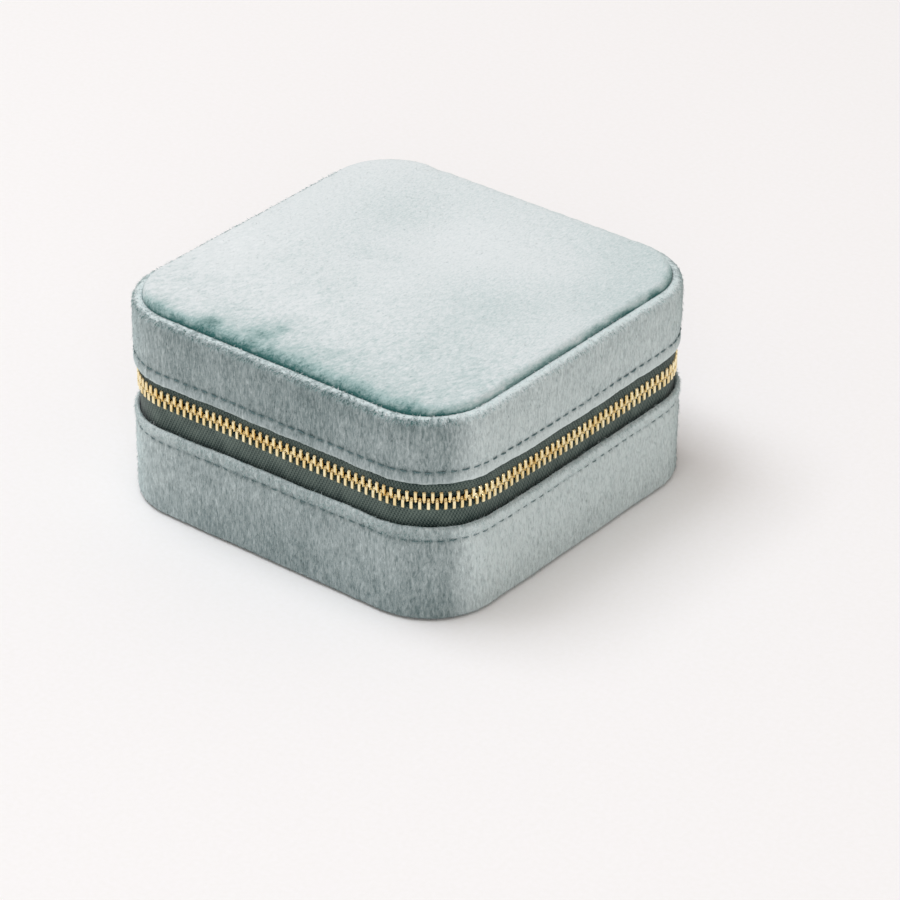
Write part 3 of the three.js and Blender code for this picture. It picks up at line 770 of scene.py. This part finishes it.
def panel(outline, steps, bottom, top, rounding, rise):
    """A closed pad: (points, faces, depth in from its edge, outward direction)."""
    ring, around, edge = square_grid(steps)
    inner = np.linspace(EDGE_DEPTHS[-1], outline.half, steps - len(EDGE_DEPTHS) + 2)[1:]
    depths = np.concatenate([EDGE_DEPTHS, inner])[::-1]
    depth = depths[ring]
    rim, outward = outline.at(around * outline.length)
    upper = np.zeros((len(ring), 3))
    upper[:, :2] = rim * (1 - depth / outline.half)[:, None]
    curl = rounding - np.minimum(depth, rounding)
    upper[:, 2] = top - rounding + np.sqrt(rounding**2 - curl**2) + rise.ravel()
    loop = upper[edge]
    levels = np.linspace(0, 1, 5)[1:, None]
    wall = np.tile(loop, (4, 1, 1))
    wall[..., 2] = loop[:, 2] + levels * (bottom - loop[:, 2])
    points = np.vstack([upper, wall.reshape(-1, 3)])
    count = len(edge)
    numbers = np.concatenate([edge, len(upper) + np.arange(4 * count)])
    skirt = [[int(numbers[k]) for k in face] for face in grid_faces(5, count)]
    underside = [[int(numbers[4 * count + k]) for k in range(count)]]
    depth = np.concatenate([depth, np.zeros(4 * count)])
    outward = np.vstack([outward, np.tile(outward[edge], (4, 1))])
    return points, square_faces(steps) + skirt + underside, depth, outward


def brush(piece, lay, depth, seed, shade=None, weight=None, length=2.9):
    """Raises a piece's pile and colours its nap; returns what its fibres grow from."""
    mesh = piece.data
    points = np.zeros(len(mesh.vertices) * 3)
    normals = np.zeros(len(mesh.vertices) * 3)
    mesh.vertices.foreach_get("co", points)
    mesh.vertices.foreach_get("normal", normals)
    points, normals = points.reshape(-1, 3) / MM, normals.reshape(-1, 3)
    stand, light = pile(points, lay, seed, length)
    weight = np.ones(len(points)) if weight is None else weight
    points = points + normals * (depth * stand * weight)[:, None]
    nap = 0.5 + 0.28 * light if shade is None else shade(points, normals, stand, light)
    mesh.vertices.foreach_set("co", (points * MM).ravel())
    paint(mesh, "nap", nap)
    mesh.update()
    return points, normals, nap, weight


PANEL_INSET = 2.55
PANEL_OUTLINE = Outline(HALF - PANEL_INSET, CORNER_RADIUS - PANEL_INSET)
PANEL_STEPS = 116
PANEL_TOP = 52.3
CROWN = 0.8
TOP_LAY = np.array([-0.12, -0.993, 0.0])
# Places where a hand has brushed the nap the dark way, as (x, y, radius, how much darker).
BRUSH_MARKS = [
    (-20.5, -44.5, 2.7, 0.4), (-7.5, -41.5, 3.7, 0.3), (-6.5, -37.0, 2.8, 0.22),
    (-7.5, -33.0, 2.5, 0.1), (4.0, -42.0, 5.0, 0.1), (17.0, -39.0, 6.0, 0.06),
    (-15.5, 2.6, 5.0, 0.07), (-7.0, 4.0, 3.5, 0.05),
]


def top_panel():
    rise = spread(billow(PANEL_OUTLINE, 1.5, CROWN), PANEL_STEPS)
    bottom = cad_box("lid_foam")[0][2] + 0.1
    points, faces, depth, outward = panel(PANEL_OUTLINE, PANEL_STEPS, bottom, PANEL_TOP, 1.3, rise)
    points[..., 2] += 0.22 * Noise(60)(points / 17) * smoothstep(0, 4, depth)
    piece = make("lid_top_panel", points, faces, TOP_VELVET, np.zeros(len(points)))
    front = smoothstep(0.75, 1.0, -outward[:, 1])
    away = smoothstep(0.3, -0.3, outward[:, 0] - outward[:, 1])
    above = smoothstep(bottom, RIM_TOP, points[:, 2])
    steep_shade = smoothstep(PANEL_TOP - 0.2, RIM_TOP - 0.2, points[:, 2])

    def shade(points, normals, stand, light):
        """The nap: painted shade where the edge turns down, dark brush marks, rougher to the front."""
        wisp = strands(points, TOP_LAY, 1.4, 3.6, 61)
        reach = 0.45 + 2.15 * front * (1 + 0.5 * Noise(62)(points / 8))
        edge = np.exp(-np.maximum(depth + 0.5 * wisp, 0) / np.maximum(reach, 0.4))
        near = smoothstep(20, -40, points[:, 1])
        nap = 0.66 - 0.02 * near + (0.02 + 0.2 * near) * light + 0.09 * Noise(63)(points / 22)
        # Broad painted shading: lighter at the left front, darker over the right part.
        nap += 0.05 * smoothstep(-10, -45, points[:, 0]) * smoothstep(8, -15, points[:, 1])
        nap -= 0.09 * smoothstep(16, 45, points[:, 0])
        # Painted shade where the edge turns down, deepest in front and faint on the far sides.
        nap -= (0.36 + 0.15 * front) * edge * (1 - 0.85 * away) + 0.22 * steep_shade
        for x, y, radius, strength in BRUSH_MARKS:
            far = np.hypot(points[:, 0] - x, (points[:, 1] - y) * 1.3)
            nap -= strength * np.exp(-((far / radius) ** 2)) * (0.85 + 0.3 * wisp)
        return nap

    return piece, brush(piece, TOP_LAY, 0.06, 65, shade, above, length=1.3)


top, top_skin = top_panel()
place_piece(top, "lid", ["lid_top_velvet", "lid_foam"])


def on_top(points):
    return points[:, 2] > PANEL_TOP - 0.9


# These fibres are painted a little lighter than their skin: painted light against their own shade.
top_fibres = fibres(
    "lid_top_pile", top_skin, TOP_LAY, 14000, 44, TOP_VELVET, where=on_top, length=0.6, width=0.09,
    lean=0.12, contrast=0.03, lighter=0.1,
)
place_piece(top_fibres, "lid")


# ---- Zip ----

SLIDER_LOW, SLIDER_HIGH = cad_box("slider_body")
SLIDER_Y = (SLIDER_LOW[1] + SLIDER_HIGH[1]) / 2
SLIDER_AT = WALL.period - SLIDER_Y
PARTED = 0.8
TOOTH_PITCH = 1.98
TAPE_SPACING = 0.3
YARN = 0.86


def parting(distance):
    """How far each half of the chain stands off its middle, behind the slider."""
    behind = smoothstep(SLIDER_AT + 1, SLIDER_AT - 8, distance)
    return PARTED * behind * smoothstep(ZIP_END, ZIP_END + 12, distance)


def tape(half, sign, body, seed):
    """A woven tape with a corded edge at the chain. sign is 1 above the chain and -1 below."""
    node = f"zip_tape_{half}"
    low, high = cad_box(node)
    sewn = high[2] if sign > 0 else low[2]
    cord = CHAIN_HEIGHT + sign * 1.05
    neck = CHAIN_HEIGHT + sign * 2.5
    corners = [
        (1.2, sewn, 0.1), (1.2, neck, 0.3), (1.02, neck - sign * 0.25, 0.2), (1.02, cord, 0.2),
        (1.98, cord, 0.2), (1.98, neck - sign * 0.25, 0.2), (1.8, neck, 0.3), (1.8, sewn, 0.1),
    ]
    section = rounded(corners, 0.2)
    count = round((WALL.length - 2 * ZIP_END) / TAPE_SPACING)
    walk = np.linspace(ZIP_END, WALL.length - ZIP_END, count)
    points, normals = swept(section, walk, sign * parting(walk) + eased(walk, CHAIN_RISE))
    inset, height = section.T
    from_chain = np.abs(height - CHAIN_HEIGHT)
    if sign > 0:
        lip = LID_LOW[2] + eased(walk, LID_LIP_RISE)
    else:
        lip = BASE_HIGH[2] + eased(walk, BASE_LIP_RISE)
    twill = (walk[:, None] + 0.1 * Noise(seed)(points / 3)) / YARN + from_chain / 1.7
    points = points + normals * (0.04 * np.sin(math.pi * twill))[..., None]
    # Painted shade under the lips of the lid and the base, and between the teeth.
    below_lip = sign * (lip[:, None] - points[..., 2])
    lip_shadow = np.exp(-np.maximum(below_lip - 0.3, 0) / (1.6 - 0.4 * sign))
    teeth_gap_shade = smoothstep(2.4, 1.7, from_chain)
    # The tape above the chain is also a little darker overall.
    nap = 0.64 + 0.2 * Noise(seed + 1)(points / 2.5) - 0.04 * sign - (0.42 - 0.08 * sign) * lip_shadow
    nap -= 0.6 * teeth_gap_shade
    piece = make(f"{node}_woven", points, tube_faces(len(walk), len(section)), TAPE_WEAVE, nap)
    paint(piece.data, "twill", twill)
    paint(piece.data, "row", np.broadcast_to(from_chain / 0.7, twill.shape))
    place_piece(piece, body, [node])


def bevelled(outline, low, high, bevel):
    """A flat block with this outline and bevelled edges: its points and faces."""
    middle = outline.mean(0)
    reach = np.abs(outline - middle).max()
    small = middle + (outline - middle) * (1 - bevel / reach)
    layers = [(small, low), (outline, low + bevel), (outline, high - bevel), (small, high)]
    points = [flat_loop(loop, level) for loop, level in layers]
    return np.vstack(points), tube_faces(4, len(outline))


def joined(parts):
    """Several (points, faces) as one."""
    points, faces, first = [], [], 0
    for some_points, some_faces in parts:
        points.append(some_points)
        faces += [[first + k for k in face] for face in some_faces]
        first += len(some_points)
    return np.vstack(points), faces


def tooth():
    """One tooth, pointing at the chain's middle: (along the chain, towards it, outwards)."""
    leg = [(-0.42, -2.25, 0.16), (0.42, -2.25, 0.16), (0.4, 0.05, 0.2), (-0.4, 0.05, 0.2)]
    head = [
        (-0.3, -0.3, 0.05), (0.3, -0.3, 0.05), (0.36, 0.5, 0.2), (0.0, 0.72, 0.2), (-0.36, 0.5, 0.2),
    ]
    turn = np.linspace(0, 2 * math.pi, 8, endpoint=False)
    knob = np.column_stack([0.17 * np.cos(turn), 0.36 + 0.15 * np.sin(turn)])
    return joined([
        bevelled(rounded(leg, 0.22), -0.8, 0.9, 0.24),
        bevelled(rounded(head, 0.24), -0.55, 0.62, 0.14),
        bevelled(knob, 0.5, 0.88, 0.1),
    ])


def along_chain(template, distances, sign):
    """Copies of a template set on the chain, as (copies, points, 3)."""
    shape, _ = template
    place, outward = WALL.at(distances)
    ahead = np.column_stack([-outward[:, 1], outward[:, 0]])
    level = place - outward * TAPE_INSET
    points = np.empty((len(distances), len(shape), 3))
    points[..., :2] = (
        level[:, None] + ahead[:, None] * shape[None, :, :1] + outward[:, None] * shape[None, :, 2:]
    )
    rise = eased(distances, CHAIN_RISE) + sign * parting(distances)
    points[..., 2] = CHAIN_HEIGHT - sign * shape[:, 1] + rise[:, None]
    return points


def repeated(points, faces):
    """Faces for each copy in a (copies, points, 3) array."""
    count = points.shape[1]
    return [[copy * count + k for k in face] for copy in range(len(points)) for face in faces]


def teeth(half, sign, body):
    """One row of interlocking teeth, half a pitch out of step with the other row."""
    template = tooth()
    first = ZIP_END + 2.6 + (TOOTH_PITCH / 2 if sign > 0 else 0)
    distances = np.arange(first, WALL.length - ZIP_END - 2.4, TOOTH_PITCH)
    points = along_chain(template, distances, sign)
    faces = repeated(points, template[1])
    piece = make(f"zip_teeth_{half}_cast", points, faces, BRASS, smooth=False)
    place_piece(piece, body, [f"zip_teeth_{half}"])


def stop(node, body, sign, distance, across):
    """A crimped metal stop over the chain's end; across is its reach from the chain's middle."""
    low, high = across
    block = rounded(oblong(0.8, low, high, 0.3), 0.2)
    ridge = rounded(oblong(0.5, low + 0.4, high - 0.4, 0.2), 0.2)
    template = joined([bevelled(block, -0.85, 0.85, 0.2), bevelled(ridge, 0.7, 1.05, 0.15)])
    points = along_chain(template, np.array([distance]), sign)
    piece = make(f"{node}_cast", points, template[1], BRASS, smooth=False)
    place_piece(piece, body, [node])


for half, sign, body in (("upper", 1, "lid"), ("lower", -1, "base")):
    tape(half, sign, body, 70 + sign)
    teeth(half, sign, body)
stop("zip_top_stop_upper", "lid", 1, ZIP_END + 1.1, (-2.05, -0.15))
stop("zip_top_stop_lower", "base", -1, ZIP_END + 1.1, (-2.05, -0.15))
stop("zip_bottom_stop", "base", -1, WALL.length - ZIP_END - 1.1, (-2.0, 2.0))


# ---- Slider and pull, in (towards the nose, up, outwards) from the chain's middle ----

SLIDER_ORIGIN = np.array([-HALF + TAPE_INSET, SLIDER_Y, CHAIN_HEIGHT])
PIVOT = 4.4
PULL_LOW, PULL_HIGH = cad_box("pull_tab")
PULL_DROP = CHAIN_HEIGHT - PULL_LOW[2]


def on_slider(shape):
    nose, up, out = shape.T
    return SLIDER_ORIGIN + np.stack([-out, nose, up], -1)


def mirrored(corners):
    """Corners given for the upper half, with the lower half added to close the outline."""
    return corners + [(x, -y, r) for x, y, r in reversed(corners)]


def wire(path, radius, sides=12):
    """A round bar along a path of points in the (nose, out) plane."""
    path = np.array(path)
    ahead = np.gradient(path, axis=0)
    ahead /= np.linalg.norm(ahead, axis=1)[:, None]
    normal = np.column_stack([-ahead[:, 1], ahead[:, 0]])
    turn = np.linspace(0, 2 * math.pi, sides, endpoint=False)
    loops = np.zeros((len(path), sides, 3))
    loops[..., 0] = path[:, None, 0] + normal[:, None, 0] * radius * np.cos(turn)
    loops[..., 2] = path[:, None, 1] + normal[:, None, 1] * radius * np.cos(turn)
    loops[..., 1] = radius * np.sin(turn)
    return loops.reshape(-1, 3), tube_faces(len(path), sides)


def slider():
    """The slider: two plates on a post, their flanges, and the bridge that the pull hangs on."""
    upper_half = [(-5, 2.7, 0.6), (-1, 3.2, 1.5), (2.4, 3.8, 1.2), (4.7, 3.5, 0.9), (5, 1.2, 1.0)]
    plate = rounded(mirrored(upper_half), 0.3)
    crown = 0.75 * plate + [0.1, 0]
    flange = rounded([(-5, 2.5, 0.2), (-5, 3.15, 0.3), (2.2, 3.7, 0.3), (2.2, 3.0, 0.3)], 0.3)
    post = rounded(mirrored([(2.2, 0.5, 0.3), (4.2, 1.1, 0.4), (4.7, 0.8, 0.3)]), 0.25)
    lower_flange = flange * [1, -1]
    turn = np.linspace(0, math.pi / 2, 6)
    rising = [(-3.3 + 1.0 * (1 - math.cos(t)), PIVOT - 1.0 + 1.0 * math.sin(t)) for t in turn]
    rear = [(-3.3, 1.9), (-3.3, 2.6)] + rising
    bridge = rear + [(-x, z) for x, z in reversed(rear)]
    points, faces = joined([
        bevelled(plate, 1.1, 2.0, 0.25), bevelled(crown, 1.8, 2.25, 0.3),
        bevelled(plate, -2.0, -1.1, 0.25),
        bevelled(flange, 0.45, 1.3, 0.15), bevelled(lower_flange, 0.45, 1.3, 0.15),
        bevelled(flange, -1.3, -0.45, 0.15), bevelled(lower_flange, -1.3, -0.45, 0.15),
        bevelled(post, -1.2, 1.2, 0.1), wire(bridge, 0.5),
    ])
    return make("slider_cast", on_slider(points), faces, BRASS, smooth=False)


def outline_at(outline, centre, angles):
    """How far an outline reaches from a centre inside it, at each angle."""
    fine = evenly(outline, 0.02) - centre
    angle = np.arctan2(fine[:, 1], fine[:, 0])
    order = np.argsort(angle)
    reach = np.interp(angles, angle[order], np.linalg.norm(fine[order], axis=1), period=2 * math.pi)
    return centre + reach[:, None] * np.column_stack([np.cos(angles), np.sin(angles)])


def pull():
    """The pull: an eye round the slider's bridge and a slotted tab that hangs from it."""
    wide = (PULL_HIGH[1] - PULL_LOW[1]) / 2
    tab = rounded([
        (-1.4, -1.2, 0.2), (1.4, -1.2, 0.2), (1.5, -3.4, 0.8), (wide, -5.6, 1.2),
        (wide, -PULL_DROP, 2.4), (-wide, -PULL_DROP, 2.4), (-wide, -5.6, 1.2), (-1.5, -3.4, 0.8),
    ], 0.2)
    slot = rounded([(-1.2, -7.5, 1.1), (1.2, -7.5, 1.1), (1.2, -15.5, 1.1), (-1.2, -15.5, 1.1)], 0.2)
    centre = np.array([0, -11.5])
    angles = np.linspace(-math.pi, math.pi, 120, endpoint=False)
    outer, inner = outline_at(tab, centre, angles), outline_at(slot, centre, angles)
    inward = (inner - outer) / np.linalg.norm(inner - outer, axis=1)[:, None]
    section = [
        (outer + 0.22 * inward, -0.6), (outer, -0.38), (outer, 0.38), (outer + 0.22 * inward, 0.6),
        (inner - 0.2 * inward, 0.6), (inner, 0.4), (inner, -0.4), (inner - 0.2 * inward, -0.6),
    ]
    loops = np.stack([flat_loop(loop, PIVOT + level) for loop, level in section], 1)
    plate = loops.reshape(-1, 3), grid_faces(len(angles), len(section), wrap_rows=True)
    turn = np.linspace(0, 2 * math.pi, 28, endpoint=False)
    profile = rounded([(-1.6, 0.85, 0.25), (1.6, 0.85, 0.25), (1.6, 1.6, 0.3), (-1.6, 1.6, 0.3)], 0.2)
    eye = np.stack([
        np.broadcast_to(profile[None, :, 0], (28, len(profile))),
        profile[None, :, 1] * np.sin(turn)[:, None],
        PIVOT + profile[None, :, 1] * np.cos(turn)[:, None],
    ], -1)
    ring = eye.reshape(-1, 3), grid_faces(28, len(profile), wrap_rows=True)
    points, faces = joined([plate, ring])
    return make("pull_tab_cast", on_slider(points), faces, BRASS, smooth=False)


place_piece(slider(), "slider", ["slider_body"])
place_piece(pull(), "pull", ["pull_tab"])


# ---- Hinge ----


def hinge_piece(node, material, seed):
    """A strip of cloth across the hinge, between the base and the lid."""
    low, high = cad_box(node)
    outer, inner = HALF - high[1], HALF - low[1]
    corners = [(outer, low[2]), (outer, high[2]), (inner, high[2]), (inner, low[2])]
    section = rounded([(inset, height, 0.2) for inset, height in corners], 0.35)
    walk = np.linspace(-high[0], high[0], round(2 * high[0] / 0.45))
    points, normals = swept(section, walk)
    piece = make(f"{node}_velvet", points, tube_faces(len(walk), len(section)), material)
    brush(piece, DOWN, 0.07, seed)
    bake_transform(piece)
    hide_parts(node)


hinge_piece("hinge_strip", SIDE_VELVET, 81)
hinge_piece("hinge_lining", LINING_VELVET, 82)


# ---- Lining, pads and dividers ----


def lining(body, far, fold, under):
    """Velvet round the inside of the wall, from the height far to fold, where it turns over the
    shell's edge and ends at under, against the zip tape."""
    node = f"{body}_lining"
    corners = [
        (4.6, far, 0.2), (4.6, fold, 0.8), (2.0, fold, 0.4), (2.0, under, 0.2), (3.9, under, 0.1),
        (3.9, far, 0.2),
    ]
    section = rounded(corners, 0.55)
    walk = stations(0.55)
    points, normals = swept(section, walk)
    faces = grid_faces(len(walk), len(section), wrap_rows=True)
    piece = make(f"{node}_velvet", points, faces, LINING_VELVET)
    brush(piece, DOWN, 0.07, 90)
    place_piece(piece, body, [node])


lining("base", cad_box("base_lining")[0][2], 24.2, 23.35)
lining("lid", cad_box("lid_lining")[1][2], 35.6, 36.4)

INSIDE_INSET = 4.9
PAD_PILE = 0.08
INSIDE = Outline(HALF - INSIDE_INSET, CORNER_RADIUS - INSIDE_INSET)
BOTTOM_INSET = HALF - cad_box("base_bottom_velvet")[1][0]
BOTTOM = Outline(HALF - BOTTOM_INSET, CORNER_RADIUS - BOTTOM_INSET)


def pad(name, node, outline, material, steps, upside_down=False):
    """A flat pad of the base in place of a CAD slab; upside_down puts its soft face underneath."""
    low, high = cad_box(node)
    thick = high[2] - low[2] - PAD_PILE
    level = np.zeros((2 * steps + 1) ** 2)
    points, faces, _, _ = panel(outline, steps, 0, thick, 0.6, level)
    points[:, 2] = high[2] - points[:, 2] if upside_down else low[2] + points[:, 2]
    piece = make(name, points, faces, material)
    brush(piece, np.array([0.6, 0.8, 0.0]), PAD_PILE, 95)
    place_piece(piece, "base", [node])


pad("base_floor_pad_velvet", "base_floor_pad", INSIDE, LINING_VELVET, 70)
pad(
    "base_bottom_velvet_pad", "base_bottom_velvet", BOTTOM, SIDE_VELVET, 110,
    upside_down=True,
)


def bar(low, high, axis, rounding, cell):
    """A soft bar that fills a box. Its section is rounded by (bottom, top) and its ends curve over."""
    across = 1 - axis
    half = (high - low) / 2
    middle = (high + low) / 2
    bottom, top = rounding
    section = rounded([
        (-half[across], -half[2], bottom), (half[across], -half[2], bottom),
        (half[across], half[2], top), (-half[across], half[2], top),
    ], cell)
    end = min(top, half[across] * 0.8)
    turn = np.linspace(0, math.pi / 2, 6)[:-1]
    run = list(half[axis] - end * (1 - np.sin(turn)))
    count = max(2, round(2 * run[0] / cell))
    stretch = np.concatenate([-np.array(run[::-1]), np.linspace(-run[0], run[0], count)[1:-1], run])
    over = np.maximum(np.abs(stretch) - (half[axis] - end), 0)
    shrink = end - np.sqrt(np.maximum(end**2 - over**2, 0))
    scale = 1 - shrink[:, None] / np.array([half[across], half[2]])
    loops = np.zeros((len(stretch), len(section), 3))
    loops[..., axis] = stretch[:, None]
    loops[..., across] = section[:, 0] * scale[:, :1]
    loops[..., 2] = section[:, 1] * scale[:, 1:]
    return (loops + middle).reshape(-1, 3), tube_faces(len(stretch), len(section))


for node, axis in (("cross_divider", 0), ("short_divider_1", 1), ("short_divider_2", 1)):
    low, high = cad_box(node)
    points, faces = bar(low, high, axis, (0.3, 0.9), 0.5)
    divider = make(f"{node}_velvet", points, faces, LINING_VELVET)
    brush(divider, DOWN, 0.07, 100)
    place_piece(divider, "base", [node])

RING_ROLLS = ["ring_roll_1", "ring_roll_2", "ring_roll_3", "ring_roll_4"]
SWELL = 0.5


def ring_roll_form():
    """One ring roll, stuffed by cloth simulation: its points, from the middle of its box."""
    low, high = cad_box(RING_ROLLS[0])
    slim = 0.8 * SWELL
    points, faces = bar(low + slim, high - slim, 0, (1.2, 4.2), 0.9)
    swollen = inflated(points, faces, points[:, 2] < low[2] + 1.5, 4.0, SWELL)
    return swollen - (low + high) / 2, faces


roll_points, roll_faces = ring_roll_form()
for number, node in enumerate(RING_ROLLS):
    low, high = cad_box(node)
    roll = make(f"{node}_velvet", roll_points + (low + high) / 2, roll_faces, LINING_VELVET)
    soften = roll.modifiers.new("soften", "SUBSURF")
    soften.levels = soften.render_levels = 1
    bpy.context.view_layer.objects.active = roll
    with bpy.context.temp_override(object=roll):
        bpy.ops.object.modifier_apply(modifier="soften")
    brush(roll, np.array([1.0, 0.0, 0.0]), 0.1, 110 + number)
    place_piece(roll, "base", [node])


def mirror_frame():
    """The padded velvet frame that holds the mirror in the lid, with its soft face down."""
    low, high = cad_box("mirror_frame")
    outer = INSIDE.loop(70, 22)[0]
    window = Outline(33.0, 6.0).loop(70, 22)[0]
    lip = Outline(35.7, 8.5).loop(70, 22)[0]
    shares = np.linspace(0, 1, 22)
    soft = [window * (1 - t) + outer * t for t in shares]
    puff = low[2] + 0.9 * (1 - np.sqrt(np.clip(1 - (2 * shares - 1) ** 6, 0, 1)))
    rows = [(loop, z) for loop, z in zip(soft, puff)]
    rows += [(outer, high[2] - 0.8), (outer, high[2]), (lip, high[2]), (lip, 42.7), (window, 42.7)]
    loops = np.stack([flat_loop(loop, height) for loop, height in rows], 1)
    faces = grid_faces(len(outer), len(rows), wrap_rows=True)
    piece = make("mirror_frame_velvet", loops, faces, LINING_VELVET)
    brush(piece, np.array([0.6, 0.8, 0.0]), 0.07, 120)
    place_piece(piece, "lid", ["mirror_frame"])


mirror_frame()

BARE_PARTS = {
    "base_shell": SHELL_BOARD,
    "lid_shell": SHELL_BOARD,
    "mirror": MIRROR,
    "mirror_backing": BACKING_BOARD,
}
for node, material in BARE_PARTS.items():
    for material_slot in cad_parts[node].material_slots:
        material_slot.material = material


# ---- Floor, light and camera ----

FLOOR_SIZE = 6.0


def floor():
    """A pale surface that runs out of sight."""
    steps = np.linspace(-0.5, 0.5, 13) * FLOOR_SIZE / MM
    x, y = np.meshgrid(steps, steps, indexing="ij")
    points = np.stack([x, y, np.zeros_like(x)], -1).reshape(-1, 3)
    surface = make("floor", points, grid_faces(13, 13, wrap_columns=False), FLOOR, smooth=False)


def softbox(name, place, size, power, colour=(1, 1, 1)):
    """A square area light, in metres, that faces the case."""
    light = bpy.data.lights.new(name, "AREA")
    light.shape = "SQUARE"
    light.size = size
    light.energy = power
    light.color = colour
    box = bpy.data.objects.new(name, light)
    bpy.context.scene.collection.objects.link(box)
    box.location = place
    box.rotation_euler = (-Vector(place)).to_track_quat("-Z", "Y").to_euler()


def sky(strength):
    """Even light from the pale walls of the room."""
    world = bpy.data.worlds.new("room")
    world.use_nodes = True
    background = world.node_tree.nodes["Background"]
    background.inputs["Color"].default_value = linear(255, 243, 233)
    background.inputs["Strength"].default_value = strength
    bpy.context.scene.world = world


# The camera that was fitted to the photo.
AZIMUTH, ELEVATION, ROLL = (math.radians(angle) for angle in (38.46, 30.743, -0.353))
DISTANCE = 900.35
ASIDE, RAISED = 9.678, -15.754
AIM_HEIGHT = 25.0
LENS = 155.34


def camera():
    """The photo's viewpoint: DISTANCE away from a point AIM_HEIGHT up, then moved aside and raised."""
    right = Vector((math.cos(AZIMUTH), math.sin(AZIMUTH), 0))
    level = math.cos(ELEVATION)
    back = Vector((math.sin(AZIMUTH) * level, -math.cos(AZIMUTH) * level, math.sin(ELEVATION)))
    up = back.cross(right)
    sideways = right * math.cos(ROLL) - up * math.sin(ROLL)
    upright = right * math.sin(ROLL) + up * math.cos(ROLL)
    eye = bpy.data.objects.new("camera", bpy.data.cameras.new("camera"))
    bpy.context.scene.collection.objects.link(eye)
    place = (back * DISTANCE + right * ASIDE + up * RAISED + Vector((0, 0, AIM_HEIGHT))) * MM
    turned = Matrix((sideways, upright, back)).transposed().to_4x4()
    eye.matrix_world = Matrix.Translation(place) @ turned
    eye.data.lens = LENS
    eye.data.sensor_width = 36
    bpy.context.scene.camera = eye


floor()
sky(0.49)
softbox("overhead", (-0.1, -0.28, 2.1), 1.1, 10.5, (0.96, 1.0, 1.06))
softbox("left_window", (-0.82, -0.3, 2.0), 1.1, 17, (0.95, 1.0, 1.07))
softbox("front_window", (1.41, -1.69, 1.0), 1.1, 9, (0.95, 1.0, 1.06))
camera()
bpy.context.scene.view_settings.view_transform = "Standard"
